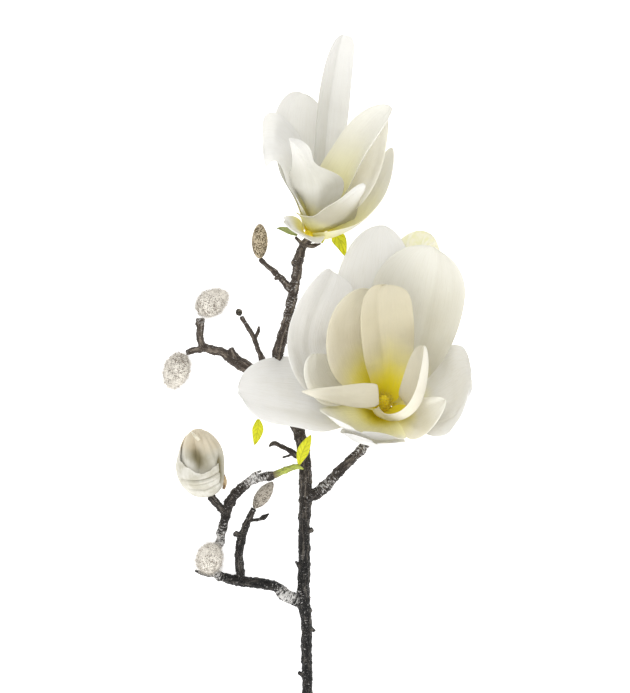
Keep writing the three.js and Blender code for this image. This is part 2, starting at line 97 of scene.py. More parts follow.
def through(stops: Sequence[tuple[float, float]], place: float) -> float:
    """A smooth value between stops that each have a place and a value."""
    for before, after in zip(stops, stops[1:]):
        if place <= after[0]:
            return lerp(before[1], after[1], eased(place, before[0], after[0]))
    return stops[-1][1]


def upright_to(axis: Vector, foot: Vector) -> Matrix:
    """Turns what is built about +Y to an axis, and moves it from the origin to a foot."""
    turn = Vector((0.0, 1.0, 0.0)).rotation_difference(axis)
    return Matrix.Translation(foot) @ turn.to_matrix().to_4x4()


def rough(place: Vector, scale: float, seed: float) -> float:
    """Smooth noise from -1 to 1 at a place in millimetres, with features about 1 / scale long."""
    return noise.noise(place * scale + Vector((seed, -seed, 0.5 * seed)))


# ---------------------------------------------------------------- the bench


class Bench:
    """Turns finished meshes into named pieces that ride on the branch."""

    def finish(
        self,
        name: str,
        mesh: bmesh.types.BMesh,
        materials: Sequence[bpy.types.Material],
        slot: str,
        nodes: Sequence[str] = (),
    ) -> bpy.types.Object:
        """Makes a piece of a mesh.

        Args:
            name: The piece's name.
            mesh: Its mesh in millimetres, which is used up.
            materials: Its materials in the order of their indices.
            slot: The record's material slot for the piece; not used.
            nodes: The plain solids that it stands for.

        Returns:
            The piece, with its place in its mesh.
        """
        mesh.transform(Matrix.Scale(MM, 4))
        data = bpy.data.meshes.new(name)
        mesh.to_mesh(data)
        mesh.free()
        return self.adopt(name, data, materials, nodes)

    def adopt(
        self,
        name: str,
        data: bpy.types.Mesh,
        materials: Sequence[bpy.types.Material],
        nodes: Sequence[str] = (),
    ) -> bpy.types.Object:
        """Makes a piece of mesh data that is in metres already.

        Args:
            name: The piece's name.
            data: Its mesh data.
            materials: Its materials in the order of their indices.
            nodes: The plain solids that it stands for.

        Returns:
            The piece.
        """
        data.materials.clear()
        for material in materials:
            data.materials.append(material)
        data.shade_smooth()
        piece = bpy.data.objects.new(name, data)
        bpy.context.scene.collection.objects.link(piece)
        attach(piece, BODY)
        if nodes:
            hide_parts(*nodes)
        log.info("%s: %d faces", name, len(data.polygons))
        return piece


# ---------------------------------------------------------------- materials


class Graph:
    """A material's nodes, added one at a time."""

    LOW_COLOUR = 6
    HIGH_COLOUR = 7
    MIXED_COLOUR = 2

    def __init__(self, name: str) -> None:
        """Starts an empty material with a name."""
        self.material = bpy.data.materials.new(name)
        self.material.use_nodes = True
        self.tree = self.material.node_tree
        self.tree.nodes.clear()

    def add(self, kind: str, feeds: Feeds, **settings: object) -> bpy.types.Node:
        """Adds a node.

        Args:
            kind: The node's type without its ShaderNode prefix.
            feeds: What goes into its inputs, a socket or a plain value for each.
            settings: The node's own settings.

        Returns:
            The node.
        """
        node = self.tree.nodes.new("ShaderNode" + kind)
        for key, value in settings.items():
            setattr(node, key, value)
        for key, value in feeds.items():
            if isinstance(value, Socket):
                self.tree.links.new(value, node.inputs[key])
            else:
                node.inputs[key].default_value = value
        return node

    def sum(self, operation: str, first: Feed, second: Feed = 0.0, third: Feed = 0.0) -> Socket:
        """Does arithmetic on up to three numbers."""
        return self.add("Math", {0: first, 1: second, 2: third}, operation=operation).outputs[0]

    def remap(
        self, value: Feed, low: float, high: float, to_low: float = 0.0, to_high: float = 1.0
    ) -> Socket:
        """Turns a number from low to high smoothly into one from to_low to to_high."""
        feeds = {"Value": value, "From Min": low, "From Max": high, "To Min": to_low, "To Max": to_high}
        return self.add("MapRange", feeds, interpolation_type="SMOOTHSTEP").outputs[0]

    def blend(self, part: Feed, low: Feed, high: Feed) -> Socket:
        """Blends two colours, low at part 0 and high at part 1."""
        feeds = {0: part, self.LOW_COLOUR: paint(low), self.HIGH_COLOUR: paint(high)}
        return self.add("Mix", feeds, data_type="RGBA").outputs[self.MIXED_COLOUR]

    def noise(self, vector: Feed, scale: float, detail: float = 3.0, roughness: float = 0.55) -> Socket:
        """Cloudy noise from 0 to 1."""
        feeds = {"Vector": vector, "Scale": scale, "Detail": detail, "Roughness": roughness}
        return self.add("TexNoise", feeds).outputs[0]

    def cells(self, vector: Feed, scale: float) -> Socket:
        """The distance to the middle of the nearest of many scattered cells."""
        return self.add("TexVoronoi", {"Vector": vector, "Scale": scale}).outputs["Distance"]

    def place(self) -> Socket:
        """The place on the object, in metres."""
        return self.add("TexCoord", {}).outputs["Object"]

    def blade(self) -> Socket:
        """The place on a blade: across it, and along it."""
        return self.add("UVMap", {}, uv_map="blade").outputs[0]

    def axis(self, vector: Feed, index: int) -> Socket:
        """One of a vector's three numbers."""
        return self.add("SeparateXYZ", {0: vector}).outputs[index]

    def off_middle(self, value: Feed) -> Socket:
        """How far a number lies from a half."""
        return self.sum("ABSOLUTE", self.sum("SUBTRACT", value, 0.5))

    def attribute(self, name: str, output: str = "Fac") -> Socket:
        """A value stored on the mesh."""
        return self.add("Attribute", {}, attribute_name=name).outputs[output]

    def stretch(self, vector: Feed, scale: Place) -> Socket:
        """A vector scaled along each of its axes."""
        return self.add("Mapping", {"Vector": vector, "Scale": scale}).outputs[0]

    def bump(self, height: Socket, distance: float, strength: float = 1.0) -> Socket:
        """A normal that follows a height, with the given depth in metres."""
        feeds = {"Height": height, "Distance": distance, "Strength": strength}
        return self.add("Bump", feeds).outputs[0]

    def surface(self, shader: Socket) -> bpy.types.Material:
        """Sets the material's surface and hands the material over."""
        self.add("OutputMaterial", {"Surface": shader})
        return self.material

    def solid(self, feeds: Feeds) -> bpy.types.Material:
        """Ends in a surface that no light shines through."""
        return self.surface(self.add("BsdfPrincipled", feeds).outputs[0])

    def glowing(self, feeds: Feeds, glow: float) -> bpy.types.Material:
        """Ends in a surface that some light shines through.

        Args:
            feeds: What goes into its solid part.
            glow: How much of it lets light through, from 0 to 1.

        Returns:
            The material.
        """
        solid = self.add("BsdfPrincipled", feeds).outputs[0]
        passed = {"Color": feeds["Base Color"]}
        if "Normal" in feeds:
            passed["Normal"] = feeds["Normal"]
        through_it = self.add("BsdfTranslucent", passed).outputs[0]
        return self.surface(self.add("MixShader", {0: glow, 1: solid, 2: through_it}).outputs[0])


def paint(value: Feed) -> Feed:
    """Gives a plain colour of three numbers its fourth."""
    if isinstance(value, tuple) and len(value) == 3:
        return (*value, 1.0)
    return value


class Tone(Enum):
    """How warm a tepal is: the outer ones are white, the innermost are beige.

    The tones are also partly painted light and shade: lighter for tepals that lie in shade, and
    darker for tepals that catch much light.
    """

    WHITE = "white"
    SHADED_WHITE = "shaded_white"
    SHELL = "shell"
    GLOW = "glow"
    CREAM = "cream"
    OAT = "oat"
    BEIGE = "beige"


@dataclass(frozen=True)
class TepalFinish:
    """One face of a tepal: fleshy, faintly veined and slightly see-through.

    The throat's colour ends at throat_end along the blade and the halo's at halo_end, and past them
    the body's own colour goes over into the tip's.
    """

    body: Colour
    tip: Colour
    mottle: Colour
    halo: Colour
    throat: Colour
    halo_end: float
    throat_end: float

    DRIFT = 0.16
    SIDE_DRIFT = 0.22
    VEIN = (0.5, 0.45, 0.3)
    VEIN_STRENGTH = 0.09
    VEIN_GRAIN = (26.0, 1.5, 1.0)
    CLOUD_SCALE = 45.0
    DENT_SCALE = 110.0
    SKIN_SCALE = 900.0
    RELIEF = 0.0005
    GLOW = 0.34

    def material(self, name: str) -> bpy.types.Material:
        """Builds the material."""
        graph = Graph(name)
        blade = graph.blade()
        place = graph.place()
        cloud = graph.noise(place, self.CLOUD_SCALE, 3.0)
        off_middle = graph.off_middle(graph.axis(blade, 0))
        clouded = graph.sum("SUBTRACT", cloud, 0.5)
        drift = graph.sum("MULTIPLY_ADD", clouded, self.DRIFT, graph.axis(blade, 1))
        reach = graph.sum("MULTIPLY_ADD", off_middle, self.SIDE_DRIFT, drift)
        body = graph.blend(graph.remap(cloud, 0.36, 0.66), self.body, self.mottle)
        body = graph.blend(graph.remap(drift, 0.55, 1.0), body, self.tip)
        in_halo = graph.remap(reach, 0.3 * self.halo_end, self.halo_end, 1.0, 0.0)
        body = graph.blend(in_halo, body, self.halo)
        in_throat = graph.remap(reach, 0.35 * self.throat_end, self.throat_end, 1.0, 0.0)
        body = graph.blend(in_throat, body, self.throat)
        lines = graph.noise(graph.stretch(blade, self.VEIN_GRAIN), 2.0, 2.0)
        vein = graph.remap(graph.off_middle(lines), 0.0, 0.05, 1.0, 0.0)
        body = graph.blend(graph.sum("MULTIPLY", vein, self.VEIN_STRENGTH), body, self.VEIN)
        skin = graph.noise(place, self.SKIN_SCALE, 2.0)
        dents = graph.noise(place, self.DENT_SCALE, 2.0)
        height = graph.sum("MULTIPLY_ADD", skin, 0.2, graph.sum("MULTIPLY", lines, 0.8))
        height = graph.sum("MULTIPLY_ADD", dents, 2.2, height)
        normal = graph.bump(height, self.RELIEF, 0.5)
        feeds = {"Base Color": body, "Roughness": 0.4, "Normal": normal, "Specular IOR Level": 0.25}
        return graph.glowing(feeds, self.GLOW)


@dataclass(frozen=True)
class BudSkinFinish:
    """The opening bud's leathery skin: cream, brownish at the apex, with painted shade in the hollow and the
    gap.
    """

    cream: Colour = (0.7, 0.68, 0.61)
    shade: Colour = (0.52, 0.495, 0.4)
    # Painted shade: the dark colour laid into the valley under the apex and into the gap at the right.
    painted_hollow_shade: Colour = (0.16, 0.13, 0.045)
    apex: Colour = (0.68, 0.59, 0.43)
    olive: Colour = (0.3, 0.27, 0.14)
    apex_starts: float = -0.047
    apex_full: float = -0.036
    foot_full: float = -0.079
    foot_ends: float = -0.068

    GRAIN = (38.0, 2.0, 1.0)
    CLOUD_SCALE = 90.0
    RELIEF = 0.0007
    GLOW = 0.12

    def material(self, name: str) -> bpy.types.Material:
        """Builds the material."""
        graph = Graph(name)
        place = graph.place()
        height = graph.axis(place, 1)
        cloud = graph.noise(place, self.CLOUD_SCALE, 4.0, 0.6)
        lines = graph.noise(graph.stretch(graph.blade(), self.GRAIN), 2.0, 3.0)
        body = graph.blend(graph.remap(cloud, 0.35, 0.65), self.cream, self.shade)
        body = graph.blend(graph.remap(lines, 0.45, 0.7, 0.0, 0.35), body, self.shade)
        # Painted shade: the valley and the gap at the right darken by the amount of shade stored on the mesh.
        body = graph.blend(graph.sum("MULTIPLY", graph.attribute("hollow"), 0.9), body, self.painted_hollow_shade)
        uneven = graph.sum("MULTIPLY_ADD", cloud, 0.01, height)
        body = graph.blend(graph.remap(uneven, self.apex_starts, self.apex_full, 0.0, 0.75), body, self.apex)
        uneven = graph.sum("MULTIPLY_ADD", cloud, 0.02, height)
        body = graph.blend(graph.remap(uneven, self.foot_full, self.foot_ends, 0.7, 0.0), body, self.olive)
        relief = graph.sum("MULTIPLY_ADD", lines, 0.7, graph.sum("MULTIPLY", cloud, 1.2))
        normal = graph.bump(relief, self.RELIEF, 0.7)
        feeds = {"Base Color": body, "Roughness": 0.5, "Normal": normal, "Specular IOR Level": 0.3}
        return graph.glowing(feeds, self.GLOW)


@dataclass(frozen=True)
class LeafFinish:
    """A young leaf with a pale midrib and side veins."""

    body: Colour
    deep: Colour
    vein: Colour

    PAIRS = 6.0
    SLANT = -0.45
    RELIEF = 0.0004
    GLOW = 0.35

    def material(self, name: str) -> bpy.types.Material:
        """Builds the material."""
        graph = Graph(name)
        blade = graph.blade()
        side = graph.off_middle(graph.axis(blade, 0))
        rise = graph.sum("MULTIPLY_ADD", side, self.SLANT, graph.axis(blade, 1))
        wave = graph.sum("SINE", graph.sum("MULTIPLY", rise, 2.0 * math.pi * self.PAIRS))
        midrib = graph.remap(side, 0.02, 0.05, 1.0, 0.0)
        vein = graph.sum("MAXIMUM", graph.remap(wave, 0.72, 1.0), midrib)
        cloud = graph.noise(graph.place(), 260.0, 3.0)
        body = graph.blend(graph.remap(cloud, 0.35, 0.65), self.body, self.deep)
        margin = graph.remap(side, 0.43, 0.49)
        body = graph.blend(graph.sum("MULTIPLY", margin, 0.4), body, self.vein)
        body = graph.blend(graph.sum("MULTIPLY", vein, 0.55), body, self.vein)
        relief = graph.sum("MULTIPLY_ADD", cloud, 0.3, graph.sum("MULTIPLY", vein, -0.7))
        normal = graph.bump(relief, self.RELIEF, 0.8)
        return graph.glowing({"Base Color": body, "Roughness": 0.42, "Normal": normal}, self.GLOW)


@dataclass(frozen=True)
class BarkFinish:
    """Rough dark bark with pale flecks, browner toward the top and frosted where it is torn."""

    black: Colour = (0.004, 0.0038, 0.0035)
    brown: Colour = (0.068, 0.051, 0.038)
    streak: Colour = (0.14, 0.125, 0.105)
    tan: Colour = (0.42, 0.35, 0.28)
    crack: Colour = (0.004, 0.0035, 0.0035)
    frost: Colour = (0.8, 0.78, 0.75)
    fleck: Colour = (0.5, 0.47, 0.43)
    oldest: float = -0.14
    youngest: float = 0.03

    LONG_GRAIN = (1.0, 1.0, 0.16)
    PORE_GRAIN = (0.5, 0.5, 0.95)
    FLAKE_GRAIN = (0.5, 0.5, 1.3)
    RELIEF = 0.0013

    def material(self, name: str) -> bpy.types.Material:
        """Builds the material."""
        graph = Graph(name)
        grain = graph.attribute("grain", "Vector")
        age = graph.remap(graph.axis(graph.place(), 1), self.oldest, self.youngest)
        streaks = graph.noise(graph.stretch(grain, self.LONG_GRAIN), 0.65, 6.0, 0.72)
        crust = graph.noise(grain, 0.8, 6.0, 0.75)
        base = graph.blend(age, self.black, self.brown)
        streak = graph.blend(age, self.streak, self.tan)
        base = graph.blend(graph.remap(streaks, 0.5, 0.66, 0.0, 0.8), base, streak)
        base = graph.blend(graph.remap(crust, 0.3, 0.47, 0.85, 0.0), base, self.crack)
        specks = graph.remap(graph.noise(grain, 1.6, 3.0, 0.65), 0.64, 0.7, 0.0, 0.55)
        base = graph.blend(specks, base, self.fleck)
        pores = graph.cells(graph.stretch(grain, self.PORE_GRAIN), 0.8)
        base = graph.blend(graph.remap(pores, 0.06, 0.13, 0.6, 0.0), base, self.fleck)
        flakes = graph.noise(graph.stretch(grain, self.FLAKE_GRAIN), 0.9, 5.0, 0.75)
        frosted = graph.sum("MULTIPLY_ADD", graph.attribute("frost"), 0.22, flakes)
        torn = graph.sum("SUBTRACT", frosted, 0.62)
        base = graph.blend(graph.remap(torn, 0.0, 0.05, 0.0, 0.95), base, self.frost)
        relief = graph.sum("MULTIPLY_ADD", streaks, 1.4, graph.sum("MULTIPLY", crust, 1.4))
        normal = graph.bump(relief, self.RELIEF)
        feeds = {"Base Color": base, "Roughness": 0.55, "Normal": normal, "Specular IOR Level": 0.35}
        return graph.solid(feeds)


@dataclass(frozen=True)
class ScaleFinish:
    """The speckled scales under a bud's fur, or any small dry scale."""

    pale: Colour
    dark: Colour
    speck: float
    fade: float = 0.0

    PATCH_SHARE = 0.2
    RELIEF = 0.0005

    def material(self, name: str) -> bpy.types.Material:
        """Builds the material."""
        graph = Graph(name)
        place = graph.place()
        spots = graph.noise(place, self.speck, 1.0, 0.6)
        patches = graph.noise(place, self.speck * self.PATCH_SHARE, 2.0)
        mixed = graph.sum("MULTIPLY_ADD", patches, 0.35, graph.sum("MULTIPLY", spots, 0.7))
        ripe = graph.sum("MULTIPLY", graph.attribute("rise"), self.fade)
        colour = graph.blend(graph.remap(graph.sum("ADD", mixed, ripe), 0.46, 0.58), self.dark, self.pale)
        normal = graph.bump(mixed, self.RELIEF)
        feeds = {"Base Color": colour, "Roughness": 0.85, "Normal": normal, "Specular IOR Level": 0.2}
        return graph.solid(feeds)


@dataclass(frozen=True)
class FurFinish:
    """Silky hairs, darker at the root than at the tip."""

    root: Colour
    tip: Colour
    glow: float = 0.35

    def material(self, name: str) -> bpy.types.Material:
        """Builds the material."""
        graph = Graph(name)
        shade = graph.noise(graph.place(), 420.0, 2.0)
        colour = graph.blend(graph.remap(graph.attribute("reach"), 0.0, 0.6), self.root, self.tip)
        colour = graph.blend(graph.remap(shade, 0.4, 0.75, 0.0, 0.35), colour, self.root)
        return graph.glowing({"Base Color": colour, "Roughness": 0.5, "Specular IOR Level": 0.3}, self.glow)


@dataclass(frozen=True)
class ShootFinish:
    """A smooth green shoot that browns toward the wood."""

    green: Colour = (0.36, 0.42, 0.05)
    olive: Colour = (0.16, 0.17, 0.04)
    brown: Colour = (0.12, 0.085, 0.05)
    brown_reach: float = 6.0

    LONG_GRAIN = (1.0, 1.0, 0.2)
    RELIEF = 0.0004

    def material(self, name: str) -> bpy.types.Material:
        """Builds the material."""
        graph = Graph(name)
        grain = graph.attribute("grain", "Vector")
        streaks = graph.noise(graph.stretch(grain, self.LONG_GRAIN), 1.6, 3.0)
        colour = graph.blend(graph.remap(streaks, 0.4, 0.65), self.green, self.olive)
        near_wood = graph.remap(graph.axis(grain, 2), 0.0, self.brown_reach, 0.9, 0.0)
        colour = graph.blend(near_wood, colour, self.brown)
        normal = graph.bump(streaks, self.RELIEF, 0.7)
        return graph.solid({"Base Color": colour, "Roughness": 0.5, "Normal": normal})


@dataclass(frozen=True)
class FloorFinish:
    """A plain white floor that glows a little."""

    white: Colour = (0.93, 0.93, 0.93)
    glow: float = 0.7

    def material(self, name: str) -> bpy.types.Material:
        """Builds the material."""
        feeds = {
            "Base Color": paint(self.white),
            "Roughness": 0.9,
            "Specular IOR Level": 0.0,
            "Emission Color": paint(self.white),
            "Emission Strength": self.glow,
        }
        return Graph(name).solid(feeds)


class Palette:
    """Every finish on the branch, built once."""

    YELLOW: Colour = (0.99, 0.87, 0.04)
    GOLD: Colour = (0.97, 0.89, 0.3)
    PALE_YELLOW: Colour = (0.95, 0.89, 0.42)
    MILK: Colour = (0.88, 0.875, 0.85)
    CREAM: Colour = (0.95, 0.93, 0.85)

    INNER = {
        Tone.WHITE: TepalFinish((0.93, 0.925, 0.905), (0.93, 0.925, 0.91), (0.9, 0.89, 0.85),
                                PALE_YELLOW, YELLOW, 0.42, 0.12),
        # Painted shade: the white painted darker for most of the small bloom's white tepals.
        Tone.SHADED_WHITE: TepalFinish((0.84, 0.835, 0.8), (0.86, 0.855, 0.83), (0.81, 0.8, 0.76),
                                PALE_YELLOW, YELLOW, 0.42, 0.12),
        # A darker, greyer cream: partly the tepals' own colour and partly painted shade.
        Tone.SHELL: TepalFinish((0.79, 0.775, 0.69), (0.83, 0.82, 0.76), (0.76, 0.74, 0.64),
                                PALE_YELLOW, YELLOW, 0.45, 0.14),
        # Partly the tepals' own yellow and partly painted light: the wide halo brightens the large front-left
        # tepal, which lies in shade.
        Tone.GLOW: TepalFinish((0.84, 0.825, 0.73), (0.85, 0.84, 0.78), (0.83, 0.81, 0.69),
                               (0.98, 0.94, 0.54), YELLOW, 0.85, 0.34),
        Tone.CREAM: TepalFinish(CREAM, (0.94, 0.93, 0.87), (0.89, 0.86, 0.73),
                                PALE_YELLOW, YELLOW, 0.55, 0.24),
        Tone.OAT: TepalFinish((0.8, 0.755, 0.62), (0.79, 0.76, 0.65), (0.76, 0.71, 0.56),
                              GOLD, YELLOW, 0.62, 0.41),
        Tone.BEIGE: TepalFinish((0.7, 0.65, 0.485), (0.69, 0.645, 0.505), (0.65, 0.6, 0.435),
                                GOLD, YELLOW, 0.62, 0.41),
    }
    OUTER = {
        Tone.WHITE: TepalFinish((0.74, 0.73, 0.7), (0.78, 0.775, 0.75), (0.7, 0.69, 0.655),
                                (0.9, 0.87, 0.6), (0.88, 0.82, 0.34), 0.3, 0.1),
        # Painted shade: the white's outer face, darker and greyer, shows on the small bloom's furled margins.
        Tone.SHADED_WHITE: TepalFinish((0.77, 0.76, 0.7), (0.88, 0.87, 0.84), (0.72, 0.71, 0.64),
                                (0.86, 0.83, 0.56), (0.84, 0.78, 0.34), 0.3, 0.1),
        Tone.SHELL: TepalFinish((0.63, 0.605, 0.5), MILK, (0.59, 0.56, 0.45),
                                (0.92, 0.89, 0.5), (0.92, 0.86, 0.24), 0.45, 0.2),
        # Painted light: this outer face is lighter than the others, for the shaded underside of the large
        # front-left tepal.
        Tone.GLOW: TepalFinish((0.93, 0.92, 0.88), MILK, (0.9, 0.89, 0.83),
                               (0.9, 0.87, 0.45), (0.9, 0.85, 0.22), 0.5, 0.2),
        Tone.CREAM: TepalFinish((0.84, 0.815, 0.72), (0.86, 0.84, 0.77), (0.8, 0.77, 0.65),
                                (0.94, 0.89, 0.5), (0.92, 0.83, 0.26), 0.36, 0.15),
        Tone.OAT: TepalFinish((0.88, 0.85, 0.74), CREAM, (0.84, 0.8, 0.66),
                              (0.84, 0.79, 0.42), (0.84, 0.74, 0.18), 0.34, 0.14),
        Tone.BEIGE: TepalFinish((0.78, 0.73, 0.56), CREAM, (0.72, 0.66, 0.46),
                                (0.8, 0.72, 0.34), (0.82, 0.7, 0.16), 0.34, 0.14),
    }
    MARGIN = TepalFinish((0.85, 0.81, 0.68), (0.88, 0.85, 0.74), (0.8, 0.76, 0.62),
                         PALE_YELLOW, YELLOW, 0.03, 0.01)
    YOUNG_LEAF = LeafFinish((0.86, 0.84, 0.02), (0.74, 0.75, 0.02), (0.46, 0.47, 0.02))
    OLIVE_LEAF = LeafFinish((0.42, 0.47, 0.16), (0.3, 0.34, 0.1), (0.5, 0.52, 0.26))
    PALE_LEAF = LeafFinish((0.9, 0.88, 0.75), (0.85, 0.84, 0.6), (0.93, 0.92, 0.85))
    BUD_SCALES = ScaleFinish((0.88, 0.84, 0.76), (0.17, 0.135, 0.1), 1500.0, 0.08)
    GREY_SCALES = ScaleFinish((0.4, 0.36, 0.3), (0.07, 0.06, 0.045), 1500.0, 0.08)
    DARK_SCALES = ScaleFinish((0.15, 0.13, 0.1), (0.03, 0.026, 0.02), 500.0)
    TAN_SCALES = ScaleFinish((0.5, 0.42, 0.29), (0.07, 0.05, 0.025), 1400.0)
    DRY_SCALE = ScaleFinish((0.42, 0.32, 0.19), (0.14, 0.09, 0.05), 400.0)
    HEART = ScaleFinish((0.93, 0.8, 0.06), (0.8, 0.62, 0.03), 500.0)
    WHITE_FUR = FurFinish((0.5, 0.45, 0.38), (0.78, 0.75, 0.69), 0.3)
    TAN_FUR = FurFinish((0.38, 0.29, 0.18), (0.62, 0.54, 0.4))
    STYLES = FurFinish((0.75, 0.62, 0.05), (0.95, 0.84, 0.16))

    def __init__(self) -> None:
        """Builds the materials."""
        self.inner = {tone: face.material(f"tepal_inner_{tone.value}") for tone, face in self.INNER.items()}
        self.outer = {tone: face.material(f"tepal_outer_{tone.value}") for tone, face in self.OUTER.items()}
        self.margin = self.MARGIN.material("tepal_margin")
        self.bud_skin = BudSkinFinish().material("opening_bud_skin")
        self.bark = BarkFinish().material("bark")
        self.shoot = ShootFinish().material("green_shoot")
        self.leaf = self.YOUNG_LEAF.material("young_leaf")
        self.olive_leaf = self.OLIVE_LEAF.material("olive_leaf")
        self.pale_leaf = self.PALE_LEAF.material("pale_leaf")
        self.bud_scales = self.BUD_SCALES.material("bud_scales")
        self.grey_scales = self.GREY_SCALES.material("grey_bud_scales")
        self.dark_scales = self.DARK_SCALES.material("dark_bud_scales")
        self.tan_scales = self.TAN_SCALES.material("tan_bud_scales")
        self.dry_scale = self.DRY_SCALE.material("dry_scale")
        self.heart = self.HEART.material("flower_heart")
        self.white_fur = self.WHITE_FUR.material("white_fur")
        self.tan_fur = self.TAN_FUR.material("tan_fur")
        self.styles = self.STYLES.material("flower_styles")


# ---------------------------------------------------------------- blades: tepals and leaves


@dataclass(frozen=True)
class Bulge:
    """A swelling of a blade's outline, or with a width below 0 a notch in it."""

    side: int
    place: float
    span: float
    width: float


@dataclass(frozen=True)
class Fold:
    """A lengthwise fold that runs from one place across the blade at its base to another at its tip."""

    low: float
    high: float
    span: float
    depth: float


@dataclass(frozen=True)
class Furl:
    """A margin that rolls inward, or with an angle below 0 outward, along a stretch of the blade."""

    side: int
    start: float
    angle: float
    low: float = 0.1
    high: float = 1.2
    fade: float = 0.14
    stop: float = 1.05

    def turn(self, across: float, along: float) -> float:
        """How far the margin has turned at a place, in radians."""
        enters = eased(along, self.low - self.fade, self.low + self.fade)
        leaves = 1.0 - eased(along, self.high - self.fade, self.high + self.fade)
        return self.angle * eased(across, self.start, self.stop) * enters * leaves


@dataclass(frozen=True)
class Half:
    """One half of a blade. What is None is the same as the whole blade's."""

    width: float = 1.0
    widest: float | None = None
    tip: float | None = None
    cup: float | None = None


@dataclass(frozen=True)
class BladeShape:
    """How a blade widens, cups, rolls and ripples. Left is u = -1, and right is u = +1."""

    half_width: float
    widest: float = 0.62
    tip: float = 2.0
    cup: float = 0.5
    roll: float = 0.0
    left: Half = Half()
    right: Half = Half()
    shoulder: float = 1.1
    wave: float = 0.5
    lip: float = 0.5
    buckle: float = 1.0
    half_claw: float = 0.9
    claw_cup: float = 0.5
    bulges: tuple[Bulge, ...] = ()
    folds: tuple[Fold, ...] = ()
    furls: tuple[Furl, ...] = ()

    def half(self, side: int) -> Half:
        """The half on a side."""
        return self.left if side < 0 else self.right

    def outline(self, along: float, side: int) -> float:
        """Half width at a place along the blade, as a part of the full half width."""
        half = self.half(side)
        widest = self.widest if half.widest is None else half.widest
        tip = self.tip if half.tip is None else half.tip
        if along < widest:
            claw = self.half_claw / self.half_width
            full = claw + (1.0 - claw) * math.sin(0.5 * math.pi * along / widest) ** self.shoulder
        else:
            past = (along - widest) / (1.0 - widest)
            full = max(0.0, 1.0 - past**tip) ** (1.0 / tip)
        return full * lerp(1.0, half.width, min(1.0, 3.0 * along))

    def width(self, along: float, side: int) -> float:
        """Half width at a place along the blade in millimetres, with its bulges."""
        width = self.half_width * self.outline(along, side)
        for bulge in self.bulges:
            if bulge.side == side:
                width += bulge.width * hump(along, bulge.place, bulge.span) * eased(1.0 - along, 0.0, 0.12)
        return width

    def turn(self, side: int, across: float, along: float) -> float:
        """How far the blade's section has turned at a place, in radians."""
        half = self.half(side)
        cup = self.cup if half.cup is None else half.cup
        angle = lerp(self.claw_cup, cup, min(1.0, 2.5 * along)) * across
        angle -= self.lip * eased(across, 0.72, 1.1) * eased(along, 0.2, 0.5)
        for furl in self.furls:
            if furl.side == side:
                angle += furl.turn(across, along)
        return angle

    def unevenness(self, u: float, t: float, seed: float) -> float:
        """How far the blade's ripples, dents and folds lift it at a place, in millimetres."""
        lift = self.wave * t * u * u * math.sin(2.0 * math.pi * (2.3 * t + 0.25 * u) + seed)
        lift += self.buckle * eased(t, 0.1, 0.5) * noise.noise(Vector((1.6 * u, 3.2 * t, seed)))
        for fold in self.folds:
            lift -= fold.depth * hump(u, lerp(fold.low, fold.high, t), fold.span) * eased(t, 0.1, 0.4)
        return lift


